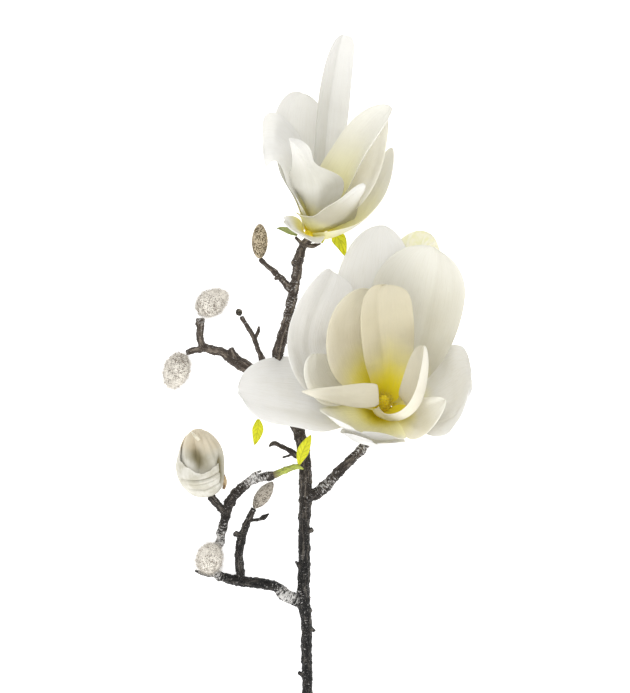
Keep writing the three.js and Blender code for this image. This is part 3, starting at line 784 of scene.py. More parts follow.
class Blade:
    """A thin blade along a bowed midrib, whose inner face looks at a focus."""

    LAST = 0.9992
    CROWDING = 2.0
    SECTION_STEPS = 20
    LOWEST = 0.7
    MARGIN_SHARE = 0.4

    def __init__(self, path: Sequence[Vector], focus: Vector, shape: BladeShape, seed: float) -> None:
        """Sets the blade's midrib, focus, shape and the seed of its unevenness."""
        self.path = path
        self.focus = focus
        self.shape = shape
        self.seed = seed

    def centre(self, t: float) -> Vector:
        """A point on the midrib."""
        a, b, c, d = self.path
        s = 1.0 - t
        return a * s**3 + b * (3.0 * s * s * t) + c * (3.0 * s * t * t) + d * t**3

    def heading(self, t: float) -> Vector:
        """The midrib's direction."""
        a, b, c, d = self.path
        s = 1.0 - t
        return ((b - a) * (s * s) + (c - b) * (2.0 * s * t) + (d - c) * (t * t)).normalized()

    def section(self, u: float, t: float) -> tuple[float, float]:
        """How far a point of a cross-section lies out from the midrib and up from it."""
        side = -1 if u < 0 else 1
        width = self.shape.width(t, side)
        step = abs(u) / self.SECTION_STEPS
        reach = rise = 0.0
        for index in range(self.SECTION_STEPS):
            turn = self.shape.turn(side, (index + 0.5) * step, t)
            reach += math.cos(turn) * step * width
            rise += math.sin(turn) * step * width
        return side * reach, rise + self.shape.unevenness(u, t, self.seed)

    def point(self, u: float, t: float) -> Vector:
        """A point of the blade.

        Args:
            u: The place across, from -1 to 1.
            t: The place along, from 0 to 1.

        Returns:
            The point in millimetres.
        """
        centre = self.centre(t)
        heading = self.heading(t)
        side = heading.cross(self.focus - centre).normalized()
        inward = side.cross(heading)
        roll = math.radians(self.shape.roll) * min(1.0, 2.5 * t)
        across = side * math.cos(roll) + inward * math.sin(roll)
        lift = inward * math.cos(roll) - side * math.sin(roll)
        reach, rise = self.section(u, t)
        place = centre + across * reach + lift * rise
        place.z = max(place.z, self.LOWEST)
        return place

    def mesh(self, columns: int, rows: int) -> bmesh.types.BMesh:
        """Lays a grid along the blade.

        Args:
            columns: Faces across.
            rows: Faces along.

        Returns:
            The mesh, with its UV map named blade and its thickness in the first vertex group.
        """
        mesh = bmesh.new()
        uv = mesh.loops.layers.uv.new("blade")
        weight = mesh.verts.layers.deform.verify()
        bmesh.ops.create_grid(mesh, x_segments=columns, y_segments=rows, size=1.0)
        places: dict[int, tuple[float, float]] = {}
        mesh.verts.index_update()
        for vert in mesh.verts:
            u, s = vert.co.x, 0.5 * (vert.co.y + 1.0)
            t = self.LAST * (1.0 - (1.0 - s) ** lerp(1.0, self.CROWDING, s))
            places[vert.index] = (u, t)
            margin = max(eased(abs(u), 0.7, 1.0), eased(t, 0.9, 1.0))
            vert[weight][0] = lerp(1.0, self.MARGIN_SHARE, margin)
            vert.co = self.point(u, t)
        for face in mesh.faces:
            for loop in face.loops:
                u, t = places[loop.vert.index]
                loop[uv].uv = (0.5 * (u + 1.0), t)
        return mesh


THINNEST_SHARE = 0.05


def thicken(piece: bpy.types.Object, thickness: float, faces_differ: bool = True) -> None:
    """Gives a sheet its thickness about its middle, thinner at the margin, and smooths it.

    Args:
        piece: The sheet.
        thickness: Its thickness in millimetres.
        faces_differ: Whether its outer face has the second material.
    """
    piece.vertex_groups.new(name="thickness")
    solid = piece.modifiers.new("thickness", "SOLIDIFY")
    solid.thickness = thickness * MM
    solid.offset = 0.0
    solid.vertex_group = "thickness"
    solid.thickness_vertex_group = THINNEST_SHARE
    solid.material_offset = 1 if faces_differ else 0
    smooth = piece.modifiers.new("smooth", "SUBSURF")
    smooth.levels = 1
    smooth.render_levels = 1


# ---------------------------------------------------------------- the flowers


@dataclass(frozen=True)
class Whorl:
    """A ring of claws on the receptacle."""

    radius: float
    height: float
    half_claw: float


@dataclass(frozen=True)
class Tepal:
    """One tepal: where its claw stands, how it opens, and where it bends and ends."""

    whorl: int
    at: float
    opening: float
    reach: float
    bow: Place
    end: Place
    tone: Tone
    shape: BladeShape


@dataclass(frozen=True)
class Turnover:
    """The turned-over margin of one tepal: a blade of its own, from its wide end to its point."""

    tepal: str
    path: tuple[Place, Place, Place, Place]
    face: Place
    shape: BladeShape


class Flower:
    """A flower whose tepals stand in whorls on a receptacle."""

    COLUMNS = 32
    ROWS = 40
    MARGIN_COLUMNS = 16
    MARGIN_ROWS = 32
    MARGIN_SEED = 4.0
    CLAW_SWELL = 1.8
    THICKNESS = 0.95
    INNERMOST = 2

    def __init__(
        self, name: str, seat: Place, axis: Place, focus: float, whorls: Sequence[Whorl], heart: Heart
    ) -> None:
        """Sets the flower's name, seat, axis, focus height, whorls and heart."""
        self.name = name
        self.seat = Vector(seat)
        self.axis = Vector(axis).normalized()
        self.right = (Vector((1.0, 0.0, 0.0)) - self.axis * self.axis.x).normalized()
        self.back = self.axis.cross(self.right)
        self.focus = self.seat + self.axis * focus
        self.whorls = whorls
        self.heart = heart

    def outward(self, degrees: float) -> Vector:
        """The direction away from the axis at an angle: 0 is right, 90 is toward the floor."""
        angle = math.radians(degrees)
        return self.right * math.cos(angle) + self.back * math.sin(angle)

    def blade(self, name: str, tepal: Tepal) -> Blade:
        """The blade of one tepal."""
        whorl = self.whorls[tepal.whorl]
        start = self.seat + self.outward(tepal.at) * whorl.radius + self.axis * whorl.height
        opening = math.radians(tepal.opening)
        leave = self.outward(tepal.at) * math.sin(opening) + self.axis * math.cos(opening)
        path = (start, start + leave * tepal.reach, Vector(tepal.bow), Vector(tepal.end))
        seed = float(sum(ord(letter) for letter in name) % 97)
        half_claw = self.CLAW_SWELL * whorl.half_claw
        fitted = replace(tepal.shape, half_claw=half_claw, claw_cup=half_claw / whorl.radius)
        return Blade(path, self.focus, fitted, seed)

    def turn_over(self, bench: Bench, palette: Palette, fold: Turnover) -> None:
        """Builds the turned-over margin of a tepal."""
        path = tuple(Vector(place) for place in fold.path)
        blade = Blade(path, Vector(fold.face), fold.shape, self.MARGIN_SEED)
        mesh = blade.mesh(self.MARGIN_COLUMNS, self.MARGIN_ROWS)
        finishes = (palette.margin, palette.margin)
        piece = bench.finish(f"{self.name}_{fold.tepal}_margin", mesh, finishes, "inner_tepal")
        thicken(piece, self.THICKNESS)

    def build(self, bench: Bench, palette: Palette, tepals: dict[str, Tepal]) -> None:
        """Builds the heart and each tepal."""
        self.heart.build(bench, palette, self)
        for name, tepal in tepals.items():
            node = f"{self.name}_tepal_{name}"
            mesh = self.blade(name, tepal).mesh(self.COLUMNS, self.ROWS)
            finishes = (palette.inner[tepal.tone], palette.outer[tepal.tone])
            slot = "inner_tepal" if tepal.whorl == self.INNERMOST else "tepal"
            piece = bench.finish(f"{node}_blade", mesh, finishes, slot, (node,))
            thicken(piece, self.THICKNESS)


@dataclass(frozen=True)
class Heart:
    """A receptacle with its cone of carpels, their styles and the stamens round its foot."""

    node: str
    foot: float
    inset: float
    band: float
    cone_radius: float
    cone_foot: float
    cone_top: float
    styles: int
    stamens: int

    GOLDEN_ANGLE = math.pi * (3.0 - math.sqrt(5.0))
    STEPS = 28
    STYLE_LENGTH = 2.6
    STYLE_RADIUS = 0.32
    STAMEN_ROWS = 7
    STAMEN_LENGTH = 5.0
    STAMEN_RADIUS = 0.42

    def profile(self, whorls: Sequence[Whorl]) -> list[tuple[float, float]]:
        """The radii and heights of the receptacle, with a step for each whorl, and of the cone."""
        profile = [(0.0, -self.foot), (0.5 * whorls[0].radius, -self.foot)]
        for whorl in whorls:
            radius = whorl.radius - self.inset
            profile += [(radius, whorl.height - self.band), (radius, whorl.height + self.band)]
        return profile + [
            (self.cone_radius, self.cone_foot),
            (0.85 * self.cone_radius, 0.5 * (self.cone_foot + self.cone_top)),
            (0.4 * self.cone_radius, self.cone_top - 2.0),
            (0.0, self.cone_top),
        ]

    def strands(self, flower: Flower) -> list[Strand]:
        """The styles all over the cone, and the stamens round its foot."""
        chance = random.Random(self.node)
        strands = []
        for index in range(self.styles):
            part = (index + 0.5) / self.styles
            height = lerp(self.cone_foot + 0.5, self.cone_top - 1.0, part)
            radius = self.cone_radius * (1.0 - 0.55 * part**2)
            out = flower.outward(math.degrees(index * self.GOLDEN_ANGLE))
            root = flower.seat + flower.axis * height + out * (radius - 0.4)
            lean = (out + flower.axis * lerp(0.3, 1.2, part)).normalized()
            pull = flower.axis * -0.9 + out * 0.5
            length = self.STYLE_LENGTH + chance.random()
            strands.append(Strand(root, lean, pull, length, self.STYLE_RADIUS))
        for index in range(self.stamens):
            row = (index % self.STAMEN_ROWS) / (self.STAMEN_ROWS - 1)
            height = lerp(self.cone_foot - 3.0, self.cone_foot + 0.5, row)
            out = flower.outward(math.degrees(index * self.GOLDEN_ANGLE))
            root = flower.seat + flower.axis * height + out * (self.cone_radius - 0.6)
            lean = (out * 0.75 + flower.axis).normalized()
            length = self.STAMEN_LENGTH + 1.5 * chance.random()
            strands.append(Strand(root, lean, flower.axis * 0.6, length, self.STAMEN_RADIUS))
        return strands

    def build(self, bench: Bench, palette: Palette, flower: Flower) -> None:
        """Builds the receptacle and its strands."""
        mesh = turned(self.profile(flower.whorls), self.STEPS)
        mesh.transform(upright_to(flower.axis, flower.seat))
        bench.finish(f"{self.node}_receptacle", mesh, (palette.heart,), "flower_heart", (self.node,))
        mesh = strand_field(self.strands(flower))
        bench.finish(f"{self.node}_styles", mesh, (palette.styles,), "flower_heart")


def turned(profile: Sequence[tuple[float, float]], steps: int) -> bmesh.types.BMesh:
    """Turns a profile of radius and height about +Y into a closed skin."""
    mesh = bmesh.new()
    verts = [mesh.verts.new((radius, height, 0.0)) for radius, height in profile]
    edges = [mesh.edges.new(pair) for pair in zip(verts, verts[1:])]
    turn = {"cent": (0, 0, 0), "axis": (0, 1, 0), "angle": 2.0 * math.pi, "steps": steps}
    bmesh.ops.spin(mesh, geom=verts + edges, use_merge=True, **turn)
    bmesh.ops.remove_doubles(mesh, verts=mesh.verts, dist=1e-4)
    bmesh.ops.recalc_face_normals(mesh, faces=mesh.faces)
    return mesh


# ---------------------------------------------------------------- strands: fur, styles and stamens


@dataclass(frozen=True)
class Strand:
    """A tapering hair: its root, first direction, the pull that bends it, its length and its radius."""

    root: Vector
    lean: Vector
    pull: Vector
    length: float
    radius: float


def strand_field(strands: Sequence[Strand]) -> bmesh.types.BMesh:
    """Makes many three-sided strands of one grid, whose columns are cut apart and wrapped round.

    Args:
        strands: The strands.

    Returns:
        The mesh, with how far along each strand a point lies in its layer named reach.
    """
    rows = 3
    sides = 3
    columns = sides + 1
    width = columns * len(strands) - 1
    mesh = bmesh.new()
    bmesh.ops.create_grid(mesh, x_segments=width, y_segments=rows, size=1.0)
    reach = mesh.verts.layers.float.new("reach")
    gaps = []
    for face in mesh.faces:
        column = int((face.calc_center_median().x + 1.0) * 0.5 * width)
        if column % columns == sides:
            gaps.append(face)
    bmesh.ops.delete(mesh, geom=gaps, context="FACES")
    for vert in mesh.verts:
        column = round((vert.co.x + 1.0) * 0.5 * width)
        s = 0.5 * (vert.co.y + 1.0)
        strand = strands[column // columns]
        bent = strand.lean + strand.pull * (0.5 * s)
        heading = bent.normalized()
        side = heading.cross(ODD_WAY).normalized()
        other = side.cross(heading)
        angle = 2.0 * math.pi * (column % columns) / sides
        ring = side * math.cos(angle) + other * math.sin(angle)
        centre = strand.root + bent * (strand.length * s)
        vert[reach] = s
        vert.co = centre + ring * (strand.radius * (1.0 - s**1.5))
    bmesh.ops.remove_doubles(mesh, verts=mesh.verts, dist=1e-5)
    return mesh


# ---------------------------------------------------------------- buds


@dataclass(frozen=True)
class Bud:
    """An egg-shaped bud with scales and fur."""

    node: str
    base: Place
    tip: Place
    radius: float
    fullness: float
    heavy: float
    hairs: int
    hair_length: float
    slot: str
    swell: float = 0.96
    sweep: float = 0.5
    hair_radius: float = 0.06

    SEGMENTS = 44
    RINGS = 30
    SEAM_DEPTH = 0.035
    BLISTER = 0.25
    TUFT = 2
    SHORTEST = 0.28
    ROOT_DEPTH = 0.35
    LOWEST = 0.3

    @property
    def turn(self) -> Matrix:
        """Stands the bud, built about +Y, on its base."""
        axis = Vector(self.tip) - Vector(self.base)
        return upright_to(axis.normalized(), Vector(self.base))

    @property
    def length(self) -> float:
        """From base to tip."""
        return (Vector(self.tip) - Vector(self.base)).length

    def girth(self, height: float) -> float:
        """The radius at a height from 0 to 1."""
        inside = min(1.0, max(0.0, height))
        return self.radius * math.sin(math.pi * inside**self.heavy) ** self.fullness

    def core(self) -> bmesh.types.BMesh:
        """The scales: a turned egg with two overlapping edges and a blistered surface."""
        mesh = bmesh.new()
        bmesh.ops.create_uvsphere(mesh, u_segments=self.SEGMENTS, v_segments=self.RINGS, radius=1.0)
        rise = mesh.verts.layers.float.new("rise")
        for vert in mesh.verts:
            height = 0.5 * (vert.co.z + 1.0)
            vert[rise] = height
            flat = Vector((vert.co.x, vert.co.y))
            out = flat.normalized() if flat.length > 1e-6 else Vector((0.0, 0.0))
            angle = math.atan2(out.y, out.x)
            seam = self.SEAM_DEPTH * hump(math.sin(angle + 2.2 * height), 0.0, 0.22)
            girth = self.girth(height) * self.swell * (1.0 - seam)
            place = Vector((out.x * girth, height * self.length, -out.y * girth))
            blister = self.BLISTER * rough(place, 0.9, self.radius)
            vert.co = place + Vector((out.x, 0.0, -out.y)) * blister
        bmesh.ops.recalc_face_normals(mesh, faces=mesh.faces)
        mesh.transform(self.turn)
        return mesh

    def fur(self) -> bmesh.types.BMesh:
        """Tufts of hairs that sweep toward the tip, with the scales showing between them."""
        chance = random.Random(self.node)
        turn = self.turn
        spin = turn.to_3x3()
        strands = []
        while len(strands) < self.hairs:
            height = 0.02 + 0.96 * chance.random()
            girth = self.girth(height)
            slope = (self.girth(height + 0.02) - self.girth(height - 0.02)) / (0.04 * self.length)
            if chance.random() * 1.5 * self.radius > girth * math.hypot(1.0, slope) + 0.2 * self.radius:
                continue
            angle = 2.0 * math.pi * chance.random()
            out = Vector((math.cos(angle), 0.0, -math.sin(angle)))
            normal = (out - Vector((0.0, max(-3.0, min(3.0, slope)), 0.0))).normalized()
            stray = Vector([chance.uniform(-0.5, 0.5) for _ in range(3)])
            lean = (normal + Vector((0.0, self.sweep, 0.0)) + stray).normalized()
            size = self.hair_length * lerp(self.SHORTEST, 1.0, chance.random() ** 3)
            for _ in range(self.TUFT):
                jitter = Vector([chance.uniform(-0.5, 0.5) for _ in range(3)])
                level = Vector((0.0, height * self.length, 0.0))
                root = out * (girth * self.swell - self.ROOT_DEPTH) + level + jitter
                own = (lean + jitter * 0.35).normalized()
                pull = Vector((0.0, 0.6 * self.sweep, 0.0)) - jitter * 0.5
                length = size * chance.uniform(0.6, 1.0)
                hair = Strand(turn @ root, spin @ own, spin @ pull, length, self.hair_radius)
                if (hair.root + (hair.lean + hair.pull * 0.5) * hair.length).z > self.LOWEST:
                    strands.append(hair)
        return strand_field(strands)

    def build(self, bench: Bench, scales: bpy.types.Material, hair: bpy.types.Material) -> None:
        """Builds the scales and the fur."""
        bench.finish(f"{self.node}_scales", self.core(), (scales,), self.slot, (self.node,))
        if self.hairs:
            bench.finish(f"{self.node}_fur", self.fur(), (hair,), self.slot)


@dataclass(frozen=True)
class Wrap:
    """A tepal wrapped round the opening bud.

    It spans the angles from first to last in degrees round the bud, 270 toward the viewer and 360 to
    the right. Its rim gives its height, from 0 to 1, at angles along it.
    """

    layer: int
    first: float
    last: float
    rim: tuple[tuple[float, float], ...]
    seed: float


@dataclass(frozen=True)
class Mound:
    """A rise on the opening bud, or with a rise below 0 a dent, which fades over its spans.

    Its angle is in degrees from the side toward the viewer, and its height goes from 0 to 1.
    """

    rise: float
    angle: float
    angle_span: float
    height: float
    height_span: float

    def at(self, angle: float, height: float) -> float:
        """How far it lifts the skin at a place."""
        across = hump(angle, self.angle, self.angle_span)
        return self.rise * across * hump(height, self.height, self.height_span)


@dataclass(frozen=True)
class OpeningBud:
    """The bud that is about to open, with three leathery tepals wrapped round it."""

    base: Place = (-71.6, -78.1, 16.4)
    tip: Place = (-80.5, -33.5, 19.0)
    radius: float = 16.2
    belly: float = 0.46
    bluntness: tuple[float, float] = (2.25, 1.9)
    layer: float = 0.9
    bow: float = 2.2
    thickness: float = 0.9
    heart_room: float = 8.5
    scale_path: tuple[Place, Place, Place, Place] = (
        (-62.5, -73.5, 18.0), (-61.0, -70.5, 18.5), (-61.0, -67.0, 19.0), (-62.0, -63.5, 19.0)
    )
    curl_path: tuple[Place, Place, Place, Place] = (
        (-78.0, -40.4, 32.0), (-79.2, -38.8, 33.4), (-81.0, -37.0, 32.4), (-83.6, -34.6, 28.0)
    )
    wraps: tuple[tuple[str, Wrap], ...] = (
        ("back", Wrap(1, 80.0, 460.0, ((80.0, 1.0), (460.0, 1.0)), 3.0)),
        ("right", Wrap(2, 262.0, 450.0, ((262.0, 0.34), (270.0, 0.5), (280.0, 0.78), (300.0, 0.93),
                                         (390.0, 0.94), (450.0, 0.96)), 7.0)),
        ("left", Wrap(3, 60.0, 320.0, ((60.0, 0.9), (150.0, 0.95), (180.0, 0.93), (198.0, 0.8),
                                       (216.0, 0.6), (238.0, 0.5), (264.0, 0.39), (275.0, 0.37),
                                       (290.0, 0.39), (308.0, 0.44), (320.0, 0.47)), 11.0)),
    )

    COLUMNS = 96
    ROWS = 64
    OUTERMOST = 3
    VIEWER_SIDE = 270.0
    HOLLOW_DEPTH = 5.5
    CREVICE = Mound(1.0, 62.0, 11.0, 0.38, 0.16)
    APEX_LIP = Mound(1.1, -48.0, 26.0, 0.93, 0.05)
    DIMPLE = Mound(-1.4, -4.0, 20.0, 0.4, 0.1)
    CREASES = ((0.375, 0.012, 1.0), (0.315, 0.012, 0.7), (0.225, 0.014, 1.0))

    def girth(self, height: float, layer: float) -> float:
        """The radius of a layer at a height from 0 to 1."""
        low = height < self.belly
        room = self.belly if low else 1.0 - self.belly
        power = self.bluntness[0] if low else self.bluntness[1]
        away = min(1.0, abs(height - self.belly) / room)
        width = max(0.0, 1.0 - away**power) ** (1.0 / power)
        return (self.radius - self.layer * (len(self.wraps) - layer)) * width

    def hollow(self, aside: float, height: float) -> float:
        """How deep the valley under the apex is, from 0 to 1, at degrees aside from the viewer's side."""
        across = aside - lerp(2.0, -30.0, eased(height, 0.35, 0.95))
        span = 17.0 if across < 0.0 else 30.0
        return hump(across, 0.0, span) * hump(height, 0.66, 0.26)

    def wrinkles(self, aside: float, height: float) -> float:
        """The creases and the puckers round the foot of the outermost tepal."""
        sag = height + 0.09 * math.cos(math.radians(1.4 * aside))
        crease = sum(depth * hump(sag, middle, span) for middle, span, depth in self.CREASES)
        pucker = math.sin(44.0 * sag) * hump(sag, 0.26, 0.12)
        return 0.8 * pucker * hump(aside, 8.0, 60.0) - 1.7 * crease * hump(aside, 4.0, 46.0)

    def uneven(self, angle: float, height: float, wrap: Wrap) -> float:
        """How far a wrapped tepal stands out at an angle in degrees: hollow, ridges and wrinkles."""
        aside = away_from(angle, self.VIEWER_SIDE)
        turn = math.radians(angle)
        spot = Vector((1.4 * math.cos(turn), 1.4 * math.sin(turn), 3.0 * height + wrap.seed))
        out = 0.7 * noise.noise(spot)
        if wrap.layer == self.OUTERMOST:
            return out + self.wrinkles(aside, height) + self.DIMPLE.at(aside, height)
        out -= self.HOLLOW_DEPTH * (self.hollow(aside, height) + self.CREVICE.at(aside, height))
        out += 1.5 * hump(aside, lerp(-30.0, -40.0, height), 9.0) * hump(height, 0.66, 0.2)
        ripple = math.sin(0.3 * aside + 6.0 * height) * hump(aside, 20.0, 50.0)
        out += 0.4 * ripple * eased(height, 0.3, 0.5)
        if wrap.layer == 1:
            out += self.APEX_LIP.at(aside, height)
        return out

    def painted_shade(self, angle: float, height: float) -> float:
        """How much painted shade darkens the hollow and the gap at the right at a place, from 0 to 1."""
        aside = away_from(angle, self.VIEWER_SIDE)
        return min(1.0, 1.3 * self.hollow(aside, height) + 2.5 * self.CREVICE.at(aside, height))

    def wrapped(self, wrap: Wrap, length: float) -> bmesh.types.BMesh:
        """Wraps a grid round the bud.

        Args:
            wrap: The tepal.
            length: The bud's length.

        Returns:
            The mesh about +Y, with its UV map named blade, its painted shade in the layer named hollow
            and its thickness in the first vertex group.
        """
        mesh = bmesh.new()
        uv = mesh.loops.layers.uv.new("blade")
        hollow = mesh.verts.layers.float.new("hollow")
        weight = mesh.verts.layers.deform.verify()
        bmesh.ops.create_grid(mesh, x_segments=self.COLUMNS, y_segments=self.ROWS, size=1.0)
        places: dict[int, tuple[float, float]] = {}
        mesh.verts.index_update()
        inner = wrap.layer < self.OUTERMOST
        for vert in mesh.verts:
            u, t = 0.5 * (vert.co.x + 1.0), 0.5 * (vert.co.y + 1.0)
            places[vert.index] = (u, t)
            angle = lerp(wrap.first, wrap.last, u)
            height = through(wrap.rim, angle) * (1.0 - (1.0 - t) ** 1.25)
            margin = 0.0 if inner else eased(t, 0.93, 1.0)
            unevenness = self.uneven(angle, height, wrap) * eased(height, 0.0, 0.1)
            unevenness *= eased(1.0 - height, 0.0, 0.05)
            radius = max(0.3, self.girth(height, wrap.layer) + unevenness + 0.5 * margin)
            turn = math.radians(angle)
            sway = -self.bow * hump(height, 0.3, 0.35)
            # Painted shade for the valley and the gap at the right, kept on the inner tepals for their
            # colour.
            vert[hollow] = self.painted_shade(angle, height) if inner else 0.0
            vert[weight][0] = lerp(1.0, 0.45, margin)
            vert.co = Vector((radius * math.cos(turn) + sway, height * length, -radius * math.sin(turn)))
        for face in mesh.faces:
            for loop in face.loops:
                loop[uv].uv = places[loop.vert.index]
        return mesh

    def build(self, bench: Bench, palette: Palette) -> None:
        """Builds the heart, the wrapped tepals, the dry scale at their foot and the curl at their apex."""
        core = Bud("opening_bud_heart", self.base, self.tip, self.radius - self.heart_room, 0.6, 0.9,
                   0, 0.0, "inner_tepal", 0.9)
        core.build(bench, palette.inner[Tone.BEIGE], palette.white_fur)
        for name, wrap in self.wraps:
            node = f"opening_bud_tepal_{name}"
            mesh = self.wrapped(wrap, core.length)
            mesh.transform(core.turn)
            piece = bench.finish(f"{node}_wrap", mesh, (palette.bud_skin,), "tepal", (node,))
            thicken(piece, self.thickness, faces_differ=False)
        scale = Leaf(self.scale_path, BladeShape(1.3, widest=0.5, tip=1.5, buckle=0.3))
        scale.build(bench, "opening_bud_scale", palette.dry_scale, stands_for=False)
        curl = Leaf(self.curl_path, BladeShape(1.25, widest=0.5, tip=1.3, shoulder=0.8, cup=0.9))
        curl.build(bench, "opening_bud_curl", palette.margin, stands_for=False)


# ---------------------------------------------------------------- wood


@dataclass(frozen=True)
class Frosting:
    """A torn or bleached stretch of bark, round a place seen from above."""

    x: float
    y: float
    span: float
    amount: float


class Station(NamedTuple):
    """A place on a line, with its direction, radius and distance from the start."""

    place: Vector
    heading: Vector
    radius: float
    along: float


class Route:
    """A smooth line through stops that each have a place and a radius."""

    FINENESS = 12
    LOOK = 0.02

    def __init__(self, stops: Sequence[tuple[float, float, float, float]]) -> None:
        """Sets the stops."""
        self.places = [Vector(stop[:3]) for stop in stops]
        self.radii = [stop[3] for stop in stops]

    def point(self, part: float) -> Vector:
        """A point on the line, by centripetal spans, for a part from 0 to the number of spans."""
        last = len(self.places) - 1
        span = min(int(part), last - 1)
        b, c = self.places[span], self.places[span + 1]
        a = self.places[span - 1] if span > 0 else b * 2.0 - c
        d = self.places[span + 2] if span + 2 <= last else c * 2.0 - b
        first, middle, final = (max(1e-4, (q - p).length ** 0.5) for p, q in ((a, b), (b, c), (c, d)))
        leave = ((b - a) / first - (c - a) / (first + middle) + (c - b) / middle) * middle
        arrive = ((c - b) / middle - (d - b) / (middle + final) + (d - c) / final) * middle
        t = part - span
        turn_one = leave * (t**3 - 2.0 * t * t + t)
        turn_two = arrive * (t**3 - t * t)
        return b * (2.0 * t**3 - 3.0 * t * t + 1.0) + turn_one + c * (3.0 * t * t - 2.0 * t**3) + turn_two

    def radius(self, part: float) -> float:
        """The radius at a place."""
        before = min(int(part), len(self.radii) - 2)
        return lerp(self.radii[before], self.radii[before + 1], eased(part - before))

    def stations(self, step: float) -> list[Station]:
        """Evenly spaced places along the line, about a step in millimetres apart."""
        last = len(self.places) - 1
        fine = self.FINENESS * last
        parts = [last * index / fine for index in range(fine + 1)]
        points = [self.point(part) for part in parts]
        run = [0.0]
        for before, after in zip(points, points[1:]):
            run.append(run[-1] + (after - before).length)
        count = max(4, round(run[-1] / step))
        found = []
        index = 0
        for number in range(count + 1):
            goal = run[-1] * number / count
            while index < fine - 1 and run[index + 1] < goal:
                index += 1
            share = (goal - run[index]) / max(1e-6, run[index + 1] - run[index])
            part = lerp(parts[index], parts[index + 1], min(1.0, share))
            ahead = self.point(min(last, part + self.LOOK))
            behind = self.point(max(0.0, part - self.LOOK))
            found.append(Station(self.point(part), (ahead - behind).normalized(), self.radius(part), goal))
        return found


class Grain:
    """Finds where places lie in the wood, from the stations along its lines."""

    def __init__(self, stations: Sequence[Station]) -> None:
        """Sets the stations."""
        self.stations = stations
        self.finder = kdtree.KDTree(len(stations))
        for index, station in enumerate(stations):
            self.finder.insert(station.place, index)
        self.finder.balance()

    def locate(self, place: Vector) -> tuple[Station, Vector, tuple[float, float, float]]:
        """The station nearest to a place, and the way from it, also as across, through and ahead."""
        _, index, _ = self.finder.find(place)
        station = self.stations[index]
        side = station.heading.cross(UP).normalized()
        off = place - station.place
        ways = (off.dot(side), off.dot(side.cross(station.heading)), off.dot(station.heading))
        return station, off, ways


def tube(mesh: bmesh.types.BMesh, route: Route, sides: int, step: float) -> None:
    """Adds a closed tube along a route: a grid wrapped round it, welded and capped.

    Args:
        mesh: The mesh to add it to.
        route: The line and its radii.
        sides: Faces round it.
        step: The spacing of its rings in millimetres.
    """
    stations = route.stations(step)
    part = bmesh.new()
    bmesh.ops.create_grid(part, x_segments=sides, y_segments=len(stations) - 1, size=1.0)
    for vert in part.verts:
        station = stations[round(0.5 * (vert.co.y + 1.0) * (len(stations) - 1))]
        side = station.heading.cross(UP).normalized()
        other = side.cross(station.heading)
        angle = -math.pi * vert.co.x
        vert.co = station.place + (side * math.cos(angle) + other * math.sin(angle)) * station.radius
    bmesh.ops.remove_doubles(part, verts=part.verts, dist=1e-4)
    bmesh.ops.holes_fill(part, edges=part.edges, sides=0)
    bmesh.ops.recalc_face_normals(part, faces=part.faces)
    held = bpy.data.meshes.new("tube")
    part.to_mesh(held)
    part.free()
    mesh.from_mesh(held)
    bpy.data.meshes.remove(held)


